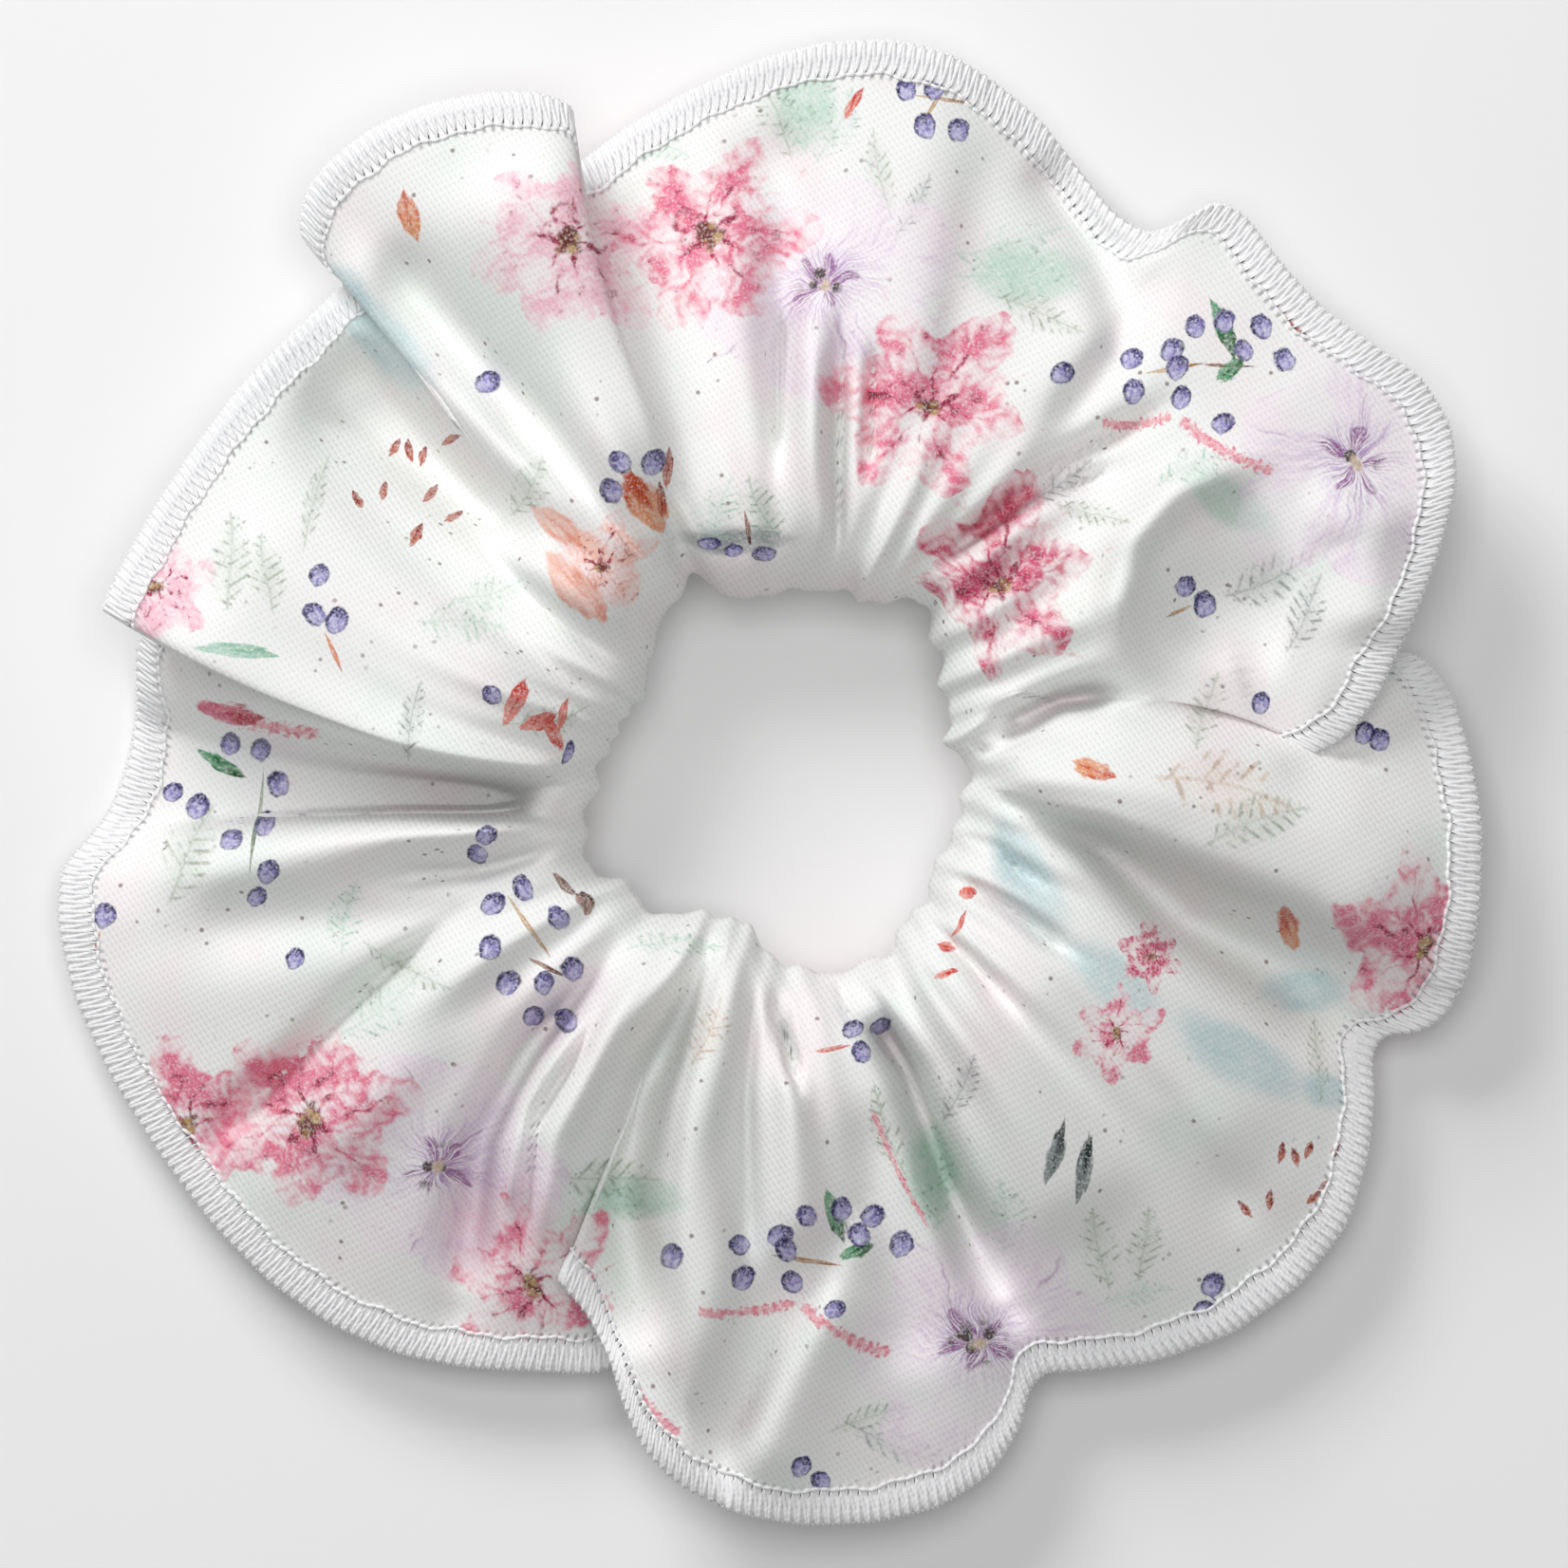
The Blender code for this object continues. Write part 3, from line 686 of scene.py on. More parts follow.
# A garland of tiny blossoms: start and end, half width, ink
GARLANDS = (
    (27.4, 29, 33.4, 29.6, 1, ROSE), (33.8, 29.3, 41.8, 24.8, 1.2, ROSE),
    (-6.6, -45.6, 1.8, -45, 1, ROSE), (2, -45.1, 9.6, -49.4, 1.2, ROSE),
    (-49, 5.6, -38.2, 2.8, 1.2, ROSE), (8, -28.6, 12.8, -38.6, 0.5, ROSE),
    (-14.4, -48.6, -8.4, -56.4, 1.3, PINK),
)
# A fine stem: its start and end, half width, ink
STEMS = (
    (-37.8, 11.8, -36.2, 8, 0.22, ORANGE), (3, -23.6, 6.4, -23, 0.25, CORAL),
    (11.2, 57, 17.2, 56.2, 0.2, STRAW), (12.4, 54.6, 14.2, 57.4, 0.2, STRAW),
    (31, 33.4, 36.4, 34.4, 0.25, STRAW), (35.4, 34.2, 40.6, 34, 0.2, BROWN),
    (-22.8, -10, -18.6, -16, 0.25, STRAW), (-21, -15.6, -17.4, -17.4, 0.25, BROWN),
    (-43.4, 0.4, -44.2, -8.8, 0.22, SAGE), (-0.6, -40.6, 6, -41.6, 0.25, STRAW),
    (35.2, 14, 32.6, 12.8, 0.2, STRAW), (-12.2, 25.6, -11.2, 21.4, 0.2, SAGE),
    (-57, -13.4, -57.6, -15.4, 0.15, ORANGE), (-2.6, 22, -2, 18, 0.25, BROWN),
    (37.4, -45, 36, -43.6, 0.15, BERRY),
)
# Centre, half length, half width, turn in degrees, ink
SPRIGS = (
    (2.6, 56.6, 4.6, 2.6, 96, MINT), (0, 55, 3.8, 2.2, 120, SAGE), (5, 54.4, 3.8, 2, 70, MINT),
    (9, 50.2, 4.2, 1.3, 100, SAGE), (19.4, 44.6, 5.2, 2, 12, MINT),
    (20.4, 41.2, 5.6, 1.9, -6, MINT), (22.2, 38.4, 4.2, 1.6, -18, SAGE),
    (-49.4, -7, 4.8, 2.6, 60, SAGE), (-33.4, -19.8, 4.6, 2.2, 40, MINT),
    (-35.8, -12.4, 3.4, 1.8, 80, MINT), (-30.8, -16.4, 4.6, 1.4, -30, SAGE),
    (-14.2, -34.2, 5, 2, -8, SAGE), (-12.8, -36.8, 4.4, 1.6, 10, MINT),
    (-45.8, 17.6, 4.4, 2.2, 96, SAGE), (-42.6, 16.6, 3.6, 1.9, 92, SAGE),
    (-26.2, 12.2, 3.8, 2.4, -10, MINT), (-24, 15.2, 3, 1.8, 20, MINT), (-20.8, 24, 3, 2, 60, SAGE),
    (-7.8, -13.4, 4.4, 2.2, 14, MINT), (13.6, -34.2, 4.8, 2, 84, MINT),
    (9.6, -30.2, 4.6, 1.4, 110, SAGE), (19, -37.6, 3.6, 2.2, 100, MINT),
    (-30.2, 4.2, 3.6, 1.2, 80, SLATE), (41.6, 16.4, 4.4, 2.2, 20, SLATE),
    (44.4, 13.2, 3.8, 1.8, 60, SLATE), (36.2, 5, 3.6, 1.8, 80, SAGE),
    (27.4, -40.2, 3.8, 2, 96, SAGE), (31, -39.8, 3.4, 1.8, 90, SAGE),
    (-18.4, 4.4, 4.4, 1.6, 8, SAGE), (-4.4, 21.6, 3.4, 2.2, 80, MINT), (-1, 22, 3.2, 2, 110, GREEN),
    (11.6, 47.6, 3.2, 1.2, 60, SLATE), (10.6, -57, 5.6, 1.4, -28, SLATE),
    (8, -54.6, 3.8, 1.2, 20, SAGE), (23.8, 24.2, 3.8, 1.4, 40, SLATE),
    (26.6, 21.6, 3.4, 1.2, -20, SAGE), (-38.6, 22.6, 4.4, 1, 75, SAGE),
    (-9.8, 52.6, 3, 1.6, 160, MINT), (35, 25.4, 3.6, 1.6, 30, MINT),
    (45.8, -24.4, 3.8, 1, 90, SAGE), (15.4, -26.6, 3.4, 1.4, 70, SLATE),
    (-5.8, -21.8, 3.4, 1.8, 70, STRAW), (37.6, -1.8, 6.4, 3.2, -14, STRAW),
    (40.4, -4.6, 5, 2.4, 20, SAGE), (-53.8, 8, 3.4, 1.2, 80, SLATE),
    (-37.4, -49, 3.4, 1, 160, SAGE), (30.4, -44.4, 3.6, 1.2, 10, MINT),
)
WASHES = (
    (-33, 36.4, 8, 3, -46, TEAL), (-36.6, 40, 3.8, 3.2, -46, TEAL), (20.6, -8.6, 8, 3.4, -56, TEAL),
    (28.4, -17.6, 6.4, 3, -40, TEAL), (39, -24, 8.4, 3.4, -30, TEAL),
    (46.4, -27, 3, 2.2, -20, TEAL), (2.4, 56, 5, 3.6, 90, MINT), (21, 41.8, 6.6, 3.6, 0, MINT),
    (13, -34, 5, 3.4, 90, MINT), (-52.4, 12.6, 4.2, 2.6, 40, PALE_PINK),
    (-14, 16.6, 6.4, 2.6, -45, PEACH), (44.6, -18.6, 4.8, 2.6, 0, TEAL),
    # The slate wash at (-3.2, 18.8) is partly the print's dark patch there and partly painted shade for
    # the tuck in the hole's wall.
    (-11.6, -36, 5.4, 2.4, 0, MINT), (-3.2, 18.8, 6, 2.4, 0, SLATE),
    (-22.6, -38, 7, 5, 60, PALE_PINK), (38.4, 22.4, 6, 2.6, -30, MINT),
    (-12, 53, 4.6, 2.4, 30, MINT),
)
chance = np.random.default_rng(14)


def stem(x0, y0, x1, y1, half_width, ink):
    """One long thin leaf from end to end."""
    turn = np.degrees(np.arctan2(y1 - y0, x1 - x0))
    return ((x0 + x1) / 2, (y0 + y1) / 2, np.hypot(x1 - x0, y1 - y0) / 2, half_width, turn, ink)


berry_sizes = chance.uniform(0.98, 1.24, len(BERRIES))
berry_turns = chance.uniform(20, 150, len(BERRIES))
STAMPS = {
    "wash": WASHES,
    "sprig": SPRIGS,
    "lilac": [(x, y, size, size, turn, ink) for x, y, size, turn, ink in LILACS],
    "poinsettia": [(x, y, size, size, turn, ink) for x, y, size, turn, ink in POINSETTIAS],
    "stem": [stem(*entry) for entry in STEMS],
    "garland": [stem(*entry) for entry in GARLANDS],
    "leaf": LEAVES,
    "berry": [(x, y, size, size * 0.84, turn, BERRY)
              for (x, y), size, turn in zip(BERRIES, berry_sizes, berry_turns)],
}

# %% Layers of stamps
FAR_AWAY = 9.0
FACE_MARGIN = 0.55


def linear(colour):
    """An ink from 0-255 screen values to the linear values a shader wants."""
    c = np.asarray(colour, float) / 255
    return np.where(c <= 0.04045, c / 12.92, ((c + 0.055) / 1.055) ** 2.4)


def turned(turn, x, y):
    """A step x, y turned anticlockwise by some degrees."""
    c, s = np.cos(np.radians(turn)), np.sin(np.radians(turn))
    return c * x - s * y, s * x + c * y


def covering_points(stamp):
    """Points all over a stamp's ellipse, a face's width larger than it is."""
    x, y, half_length, half_width, turn, _ = stamp
    t = np.linspace(0.0, 2 * np.pi, 17)[:-1, None]
    out = np.array((1.0, 0.66, 0.33))
    u, v = turned(turn, (half_length + FACE_MARGIN) * out * np.cos(t),
                  (half_width + FACE_MARGIN) * out * np.sin(t))
    return np.stack((x + u, y + v), axis=-1).reshape(-1, 2)


def over_stamp(points, stamp):
    """Which points lie over a stamp's ellipse, made a face's width larger."""
    x, y, half_length, half_width, turn, _ = stamp
    u, v = turned(-turn, points[..., 0] - x, points[..., 1] - y)
    return (u / (half_length + FACE_MARGIN)) ** 2 + (v / (half_width + FACE_MARGIN)) ** 2 < 1.0


def sort_into_layers(stamps):
    """Put each stamp in the first layer where it lies over none of the others."""
    layers = []
    for stamp in stamps:
        for layer in layers:
            if not any(over_stamp(covering_points(stamp), other).any() for other in layer):
                layer.append(stamp)
                break
        else:
            layers.append([stamp])
    return layers


def lay_stamps(piece, name, corners, stamps):
    """Store one layer of stamps, the place in the stamp and the ink, and say which faces it covers."""
    centres = corners.mean(axis=1)
    covered = np.zeros(len(corners), bool)
    place = np.full(corners.shape[:2] + (3,), FAR_AWAY)
    ink = np.ones(corners.shape[:2] + (4,))
    for number, stamp in enumerate(stamps):
        x, y, half_length, half_width, turn, colour = stamp
        near = over_stamp(centres, stamp)
        covered |= near
        u, v = turned(-turn, corners[near, :, 0] - x, corners[near, :, 1] - y)
        place[near, :, 0] = u / half_length
        place[near, :, 1] = v / half_width
        place[near, :, 2] = (number * 0.618 + 0.11) % 1.0
        ink[near, :, :3] = linear(colour)
    store(piece, name + "_place", "FLOAT_VECTOR", place)
    store(piece, name + "_ink", "FLOAT_COLOR", ink)
    return covered


UNDER_TURN = 140.0
UNROLL_BELOW = 17.0
UNPRINTED = 1000.0


def print_plan(grid, section_height):
    """Where each point lies in the flat print: its place in plan, unrolled down the hole's wall."""
    radius = np.hypot(grid[..., 0], grid[..., 1])
    down_wall = np.clip(UNROLL_BELOW - section_height, 0.0, 8.0) * (share < 0.13)
    return grid[..., :2] * (1.0 - down_wall / radius)[..., None]


top_print = print_plan(cloth, height).reshape(-1, 2)
under_print = np.column_stack(turned(UNDER_TURN, -cloth[..., 0].ravel(), cloth[..., 1].ravel()))
face_row = np.arange(len(outer_faces)) % (ROW_COUNT - 1)
outer_corners = np.where((face_row < TOP_ROWS - 1)[:, None, None], top_print[outer_faces],
                         under_print[outer_faces])
corners = np.full((len(cover.data.polygons), 4, 2), UNPRINTED)
corners[:len(outer_faces)] = outer_corners
# Kinds that share a printing screen. A face only carries the screens that touch it.
SCREENS = (("lilac", "poinsettia"), ("wash", "sprig", "garland"), ("berry", "leaf", "stem"))
print_layers = []
on_screen = np.zeros((len(SCREENS), len(corners)), bool)
for kind, stamps in STAMPS.items():
    screen = next(number for number, kinds in enumerate(SCREENS) if kind in kinds)
    for layer in sort_into_layers(stamps):
        print_layers.append((kind, f"{kind}_{len(print_layers)}"))
        on_screen[screen] |= lay_stamps(cover, print_layers[-1][1], corners, layer)
print("stamps", {kind: len(stamps) for kind, stamps in STAMPS.items()})
print("layers", {kind: sum(kind == used for used, _ in print_layers) for kind in STAMPS})

# %% Stitch places along the rim
STITCH = 0.85
stitch_count = int(round(edge_length / STITCH))
from_top_rim = length_along(cloth)
from_rim = np.minimum(from_top_rim, from_top_rim[:, -1:] - from_top_rim).reshape(-1)
stitch_place = np.zeros((len(cover.data.polygons), 4, 3))
stitch_place[..., 1] = UNPRINTED
column_of_face = np.arange(len(outer_faces)) // (ROW_COUNT - 1)
beside = (outer_faces // ROW_COUNT - column_of_face[:, None]) % COLUMNS
stitch_place[:len(outer_faces), :, 0] = (column_of_face[:, None] + beside) * (stitch_count / COLUMNS)
stitch_place[:len(outer_faces), :, 1] = from_rim[outer_faces]
store(cover, "stitch_place", "FLOAT_VECTOR", stitch_place)
print(stitch_count, "overlock stitches")

# %% [markdown]
# ## Motifs as node groups
#
# Sums in shader nodes are easier to read as sums than as boxes and wires, so a small class
# turns plus, minus and times into Math nodes. With it a motif is a few lines of arithmetic on
# its own coordinates u and v, which run from -1 to 1 across the motif.

# %% Sums as nodes


def math_node(operation, *values):
    """One Math node on any mix of wires and plain numbers."""
    tree = next(value.tree for value in values if isinstance(value, Wire))
    node = tree.nodes.new("ShaderNodeMath")
    node.operation = operation
    for slot, value in zip(node.inputs, values):
        join(tree, slot, value)
    return Wire(tree, node.outputs[0])


class Wire:
    """A value in a node tree; arithmetic on it adds Math nodes."""

    def __init__(self, tree, socket):
        self.tree = tree
        self.socket = socket

    __add__ = __radd__ = lambda self, other: math_node("ADD", self, other)
    __sub__ = lambda self, other: math_node("SUBTRACT", self, other)
    __rsub__ = lambda self, other: math_node("SUBTRACT", other, self)
    __mul__ = __rmul__ = lambda self, other: math_node("MULTIPLY", self, other)
    __truediv__ = lambda self, other: math_node("DIVIDE", self, other)
    __pow__ = lambda self, other: math_node("POWER", self, other)
    __abs__ = lambda self: math_node("ABSOLUTE", self)


def join(tree, slot, value):
    """Give a socket a wire, another node's socket, an ink or a plain number."""
    if isinstance(value, Wire):
        tree.links.new(value.socket, slot)
    elif isinstance(value, bpy.types.NodeSocket):
        tree.links.new(value, slot)
    elif isinstance(value, tuple):
        slot.default_value = (*linear(value), 1.0)
    else:
        slot.default_value = value


def length_of(u, v):
    """The length of a step u, v."""
    return math_node("SQRT", u * u + v * v)


def largest(first, *others):
    """The largest of several values."""
    for other in others:
        first = math_node("MAXIMUM", first, other)
    return first


def fade(value, low, high):
    """Smooth step from 0 at low to 1 at high, or down from 1 where low is the larger."""
    node = value.tree.nodes.new("ShaderNodeMapRange")
    node.interpolation_type = "SMOOTHSTEP"
    falling = low > high
    start, end = sorted((low, high))
    for slot, amount in zip(node.inputs, (value, start, end, float(falling), float(not falling))):
        join(value.tree, slot, amount)
    return Wire(value.tree, node.outputs["Result"])


def blend_colours(share, first, second, how="MIX"):
    """A colour between two, given as sockets or as inks, by a wire's share."""
    node = share.tree.nodes.new("ShaderNodeMix")
    node.data_type = "RGBA"
    node.blend_type = how
    for number, value in ((0, share), (6, first), (7, second)):
        join(share.tree, node.inputs[number], value)
    return node.outputs[2]


def place_vector(x, y, z):
    """Three wires as one vector."""
    node = x.tree.nodes.new("ShaderNodeCombineXYZ")
    for slot, value in zip(node.inputs, (x, y, z)):
        join(x.tree, slot, value)
    return node.outputs[0]


def split_vector(tree, socket):
    """A vector socket as three wires."""
    node = tree.nodes.new("ShaderNodeSeparateXYZ")
    tree.links.new(socket, node.inputs[0])
    return [Wire(tree, output) for output in node.outputs]


def noise(tree, vector, scale, detail=2.0):
    """Cloudy noise from 0 to 1, about one half."""
    node = tree.nodes.new("ShaderNodeTexNoise")
    for socket, value in (("Vector", vector), ("Scale", scale), ("Detail", detail)):
        join(tree, node.inputs[socket], value)
    return Wire(tree, node.outputs["Fac"])


def dots(tree, vector, scale):
    """Distance to the nearest of many scattered points, in cells."""
    node = tree.nodes.new("ShaderNodeTexVoronoi")
    for socket, value in (("Vector", vector), ("Scale", scale)):
        join(tree, node.inputs[socket], value)
    return Wire(tree, node.outputs["Distance"])


def wander(tree, here, u, v, scales, amount):
    """Move u and v about by two noises, so that an outline drawn from them looks hand painted."""
    sway, stray = (noise(tree, here, scale) - 0.5 for scale in scales)
    return u + sway * amount, v + stray * amount


# %% [markdown]
# ## Drawing the motifs
#
# A petal is a sector of the angle round the flower's centre. Its half width grows and shrinks
# along its length, so it has a point at its tip. A remainder of a large sine gives each petal
# its own length. Watercolour dries unevenly, so noise moves the tone of every motif, and the
# pigment gathers into a thin dark line at its edge.

# %% Flowers


def petals(u, v, seed, count, length, breadth, turn=0.0, blunt=0.6):
    """A tier of petals: how far inside a petal's outline, the share along it, and off its middle.

    The half width at a share t of the petal's length is 2.45 breadth t^0.7 (1 - t)^blunt, which
    is largest, and close to breadth, a little past its middle.
    """
    angle = math_node("ARCTAN2", v, u) * (count / (2 * np.pi)) + seed * 5.3 + turn
    number = math_node("FLOOR", angle)
    petal = math_node("FLOORED_MODULO", number, count)
    luck = math_node("FRACT", math_node("SINE", petal * 12.99 + seed * 78.2) * 437.5)
    radius = length_of(u, v)
    t = radius / (luck * (0.26 * length) + 0.8 * length)
    off_middle = abs(angle - number - 0.5) * radius * (2 * np.pi / count)
    left = largest(1.0 - t, 0.0)
    return (t**0.7) * (left**blunt) * (2.45 * breadth) - off_middle, t, off_middle


def draw_poinsettia(tree, u, v, seed, ink):
    """Two tiers of pointed petals, pale where the wash is thin, with a beaded gold centre."""
    here = place_vector(u, v, seed * 40.0)
    u, v = wander(tree, here, u, v, (2.6, 3.4), 0.34)
    cloud = noise(tree, here, 3.2, 3.0)
    grain = noise(tree, here, 11.0, 3.0)
    colour, cover = None, None
    for count, length, breadth, turn in ((6, 1.0, 0.27, 0.0), (6, 0.66, 0.19, 0.5)):
        inside, t, off_middle = petals(u, v, seed, count, length, breadth, turn)
        tier = fade(inside + (grain - 0.5) * 0.12, -0.02, 0.07)
        rim = tier * fade(inside, 0.08, 0.0)
        vein = fade(off_middle, 0.035, 0.0) * fade(t, 0.95, 0.2)
        rib = math_node("SINE", t * 30.0 - off_middle * 46.0) * 0.12
        tone = fade(cloud * 1.9 + rib + vein * 0.3 + rim * 0.2 - t * 0.2, 0.5, 1.15)
        dark = fade(grain * 1.5 + cloud * 0.5 + vein * 0.3 - t * 0.3, 0.95, 1.3)
        petal = blend_colours(tone, (251, 232, 236), ink)
        petal = blend_colours(dark, petal, (158, 42, 74))
        strength = tier * (0.4 + 0.6 * fade(cloud * 1.5 + rim * 0.2 + vein * 0.2 - t * 0.2, 0.4, 0.8))
        colour = blend_colours(tier, colour, petal) if colour else petal
        cover = largest(cover, strength) if cover else strength
    radius = length_of(u, v)
    bead = dots(tree, here, 9.0)
    beads = blend_colours(fade(bead, 0.62, 0.3), (112, 50, 44), (188, 152, 100))
    heart = fade(radius + grain * 0.16, 0.21, 0.15)
    return blend_colours(heart, colour, beads), largest(cover, heart)


def draw_lilac(tree, u, v, seed, ink):
    """Broad pale petals with fine rays, and a small purple star with dark anthers."""
    here = place_vector(u, v, seed * 40.0)
    u, v = wander(tree, here, u, v, (2.2, 3.0), 0.3)
    radius = length_of(u, v)
    angle = math_node("ARCTAN2", v, u)
    rays = noise(tree, place_vector(angle * 5.0, radius * 1.4, seed * 9.0), 3.0, 3.0)
    cloud = noise(tree, here, 2.4, 3.0)
    inside, t, off_middle = petals(u, v, seed, 6, 1.0, 0.36, 0.0, 0.4)
    bloom = fade(inside, -0.02, 0.06)
    rim = bloom * fade(inside, 0.07, 0.0)
    tone = fade(rays * 0.9 + cloud * 0.6 + rim * 0.35 - t * 0.2, 0.55, 1.15)
    colour = blend_colours(tone, (247, 236, 244), ink)
    throat = fade(radius, 0.5, 0.04) * fade(rays, 0.4, 0.64)
    colour = blend_colours(throat, colour, (158, 104, 184))
    star, _, _ = petals(u, v, seed, 5, 0.3, 0.06, 0.3)
    star = fade(star + (cloud - 0.5) * 0.12, -0.01, 0.03) * fade(rays, 0.34, 0.5)
    colour = blend_colours(star * 0.8, colour, (136, 60, 136))
    anthers = fade(dots(tree, here, 8.0), 0.44, 0.3) * fade(radius, 0.24, 0.12)
    colour = blend_colours(anthers, colour, (62, 34, 44))
    heart = fade(radius, 0.06, 0.03)
    colour = blend_colours(heart, colour, (200, 176, 150))
    cover = bloom * (0.4 + 0.36 * fade(cloud, 0.36, 0.6)) + rim * 0.08
    strong = largest(throat, star, anthers, heart)
    return colour, largest(cover, strong * 0.95)


# %% Berries, leaves, sprigs and washes


def draw_berry(tree, u, v, seed, ink):
    """A lavender ball with a dark line, heavier on one side, and a small dark crown."""
    here = place_vector(u, v, seed * 40.0)
    wobble = noise(tree, here, 1.6, 3.0) - 0.5
    radius = length_of(u, v) + wobble * 0.5
    cover = fade(radius, 1.02, 0.84)
    lean = (u * 0.8 + v * 0.6) * 0.26
    line = fade(radius + lean, 0.5, 0.78) * (0.55 + 0.45 * fade(noise(tree, here, 2.2), 0.4, 0.56))
    fill = blend_colours(fade(noise(tree, here, 2.6) + u * 0.16, 0.3, 0.66), (196, 192, 226), ink)
    crown = length_of(u - 0.42, v)
    crown = fade(crown, 0.34, 0.2) * fade(crown, 0.05, 0.16)
    dark = largest(line, crown * 0.8)
    return blend_colours(dark, fill, (50, 44, 92)), cover


def draw_leaf(tree, u, v, seed, ink):
    """A leaf: |v| under 1 - u^2 once bent, darker along its rib and at one end."""
    here = place_vector(u, v, seed * 40.0)
    bent = v + (1.0 - u * u) * (seed - 0.5) * 0.5
    ragged = (noise(tree, here, 1.8, 3.0) - 0.5) * 1.1
    inside = 1.0 - u * u - abs(bent) + ragged
    cover = fade(inside, 0.02, 0.3)
    cloud = noise(tree, here, 1.5, 3.0)
    rib = fade(abs(bent), 0.16, 0.02)
    dark = fade(cloud + rib * 0.16 + u * 0.24, 0.42, 0.72)
    colour = blend_colours(dark, ink, ink, "MULTIPLY")
    return colour, cover * (0.45 + 0.9 * cloud)


def draw_sprig(tree, u, v, seed, ink):
    """A fine stem along u with slanted leaflets either side, and a few dark specks."""
    here = place_vector(u * 2.0, v, seed * 40.0)
    bent = v + math_node("SINE", u * 1.8 + seed * 6.0) * 0.22
    side = abs(bent)
    stem_line = fade(side, 0.1, 0.03) * fade(abs(u), 1.0, 0.85)
    room = 1.0 - u * u - side
    beat = math_node("FRACT", u * 4.6 - side * 1.3 + math_node("SIGN", bent) * 0.21 + seed)
    patchy = noise(tree, here, 1.7, 3.0)
    leaflet = fade(abs(beat - 0.5), 0.3, 0.05) * fade(room, 0.0, 0.3) * fade(patchy, 0.36, 0.6)
    speck = fade(dots(tree, here, 3.4), 0.3, 0.12) * fade(room, -0.1, 0.2) * fade(patchy, 0.4, 0.6)
    colour = blend_colours(fade(patchy, 0.45, 0.75), ink, ink, "MULTIPLY")
    colour = blend_colours(speck, colour, (96, 84, 72))
    haze = fade(room, -0.1, 0.9) * patchy * 0.4
    return colour, largest(stem_line * 0.4, leaflet * 0.62, haze, speck * 0.6)


def draw_garland(tree, u, v, seed, ink):
    """A bowed row of tiny blossoms: a band whose edge and tone jump from bead to bead."""
    bowed = v - (u * u - 0.4) * 0.5
    bead = noise(tree, place_vector(u * 7.0, bowed * 1.6, seed * 40.0), 1.6, 2.0)
    inside = 0.5 - abs(bowed) + (bead - 0.5) * 1.3
    cover = fade(inside, 0.0, 0.3) * fade(abs(u), 1.0, 0.9)
    return blend_colours(fade(bead, 0.42, 0.68), (244, 178, 186), ink), cover * 0.9


def draw_wash(tree, u, v, seed, ink):
    """A soft pool of thin colour whose edge wanders with the noise."""
    here = place_vector(u, v, seed * 40.0)
    cloud = noise(tree, here, 1.6, 3.0)
    inside = 1.0 - (abs(u) ** 3.0 + v * v) + (cloud - 0.5) * 1.1
    grain = noise(tree, here, 9.0, 2.0)
    inward = fade(length_of(u, v), 1.0, 0.4)
    return ink, fade(inside, 0.0, 0.8) * inward * (0.1 + 0.7 * cloud + 0.4 * grain)


DRAWINGS = {"wash": draw_wash, "sprig": draw_sprig, "lilac": draw_lilac, "poinsettia": draw_poinsettia,
            "stem": draw_leaf, "garland": draw_garland, "leaf": draw_leaf, "berry": draw_berry}


def motif_group(kind):
    """A node group from a place and an ink to a colour and how much of the cloth it covers."""
    tree = bpy.data.node_groups.new("motif_" + kind, "ShaderNodeTree")
    for name, way, what in (("Place", "INPUT", "Vector"), ("Ink", "INPUT", "Color"),
                            ("Colour", "OUTPUT", "Color"), ("Cover", "OUTPUT", "Float")):
        tree.interface.new_socket(name, in_out=way, socket_type="NodeSocket" + what)
    entry = tree.nodes.new("NodeGroupInput")
    result = tree.nodes.new("NodeGroupOutput")
    u, v, seed = split_vector(tree, entry.outputs["Place"])
    colour, cover = DRAWINGS[kind](tree, u, v, seed, entry.outputs["Ink"])
    tree.links.new(colour, result.inputs["Colour"])
    tree.links.new(cover.socket, result.inputs["Cover"])
    return tree


motifs = {kind: motif_group(kind) for kind in DRAWINGS}
print("motif nodes", {kind: len(tree.nodes) for kind, tree in motifs.items()})

# %% [markdown]
# ## The cloth's finish
#
# The cloth is a fine brushed twill. Its diagonal ribs are under half a millimetre apart, made
# here from two crossing waves on the piece's own millimetres. They drive a faint bump, and their
# grooves are painted a little grey as shade. Sheen gives the brushed fibres their pale edge.
# Near the rim, the short slanted grey marks are painted shadow between the overlock's loops.
#
# A motif costs render time wherever its nodes are, even far from where it lies. So the motifs
# are shared out over three screens, as a printer would, and the cloth has one material for each
# mix of screens. Each face uses the material that holds just the screens it needs.

# %% Cloth material
TWILL_PITCH = 0.42


def attribute(tree, name, output):
    """The socket of a mesh attribute."""
    node = tree.nodes.new("ShaderNodeAttribute")
    node.attribute_name = name
    return node.outputs[output]


def bump(tree, shader, height_wire, strength, distance):
    """Let a height wire, in 0 to 1, move the shading by up to a distance in metres."""
    node = tree.nodes.new("ShaderNodeBump")
    node.inputs["Strength"].default_value = strength
    node.inputs["Distance"].default_value = distance
    tree.links.new(height_wire.socket, node.inputs["Height"])
    tree.links.new(node.outputs["Normal"], shader.inputs["Normal"])


def object_millimetres(tree):
    """The object's own coordinates as three wires in millimetres."""
    node = tree.nodes.new("ShaderNodeTexCoord")
    x, y, z = split_vector(tree, node.outputs["Object"])
    return x * (1 / MM), y * (1 / MM), z * (1 / MM)


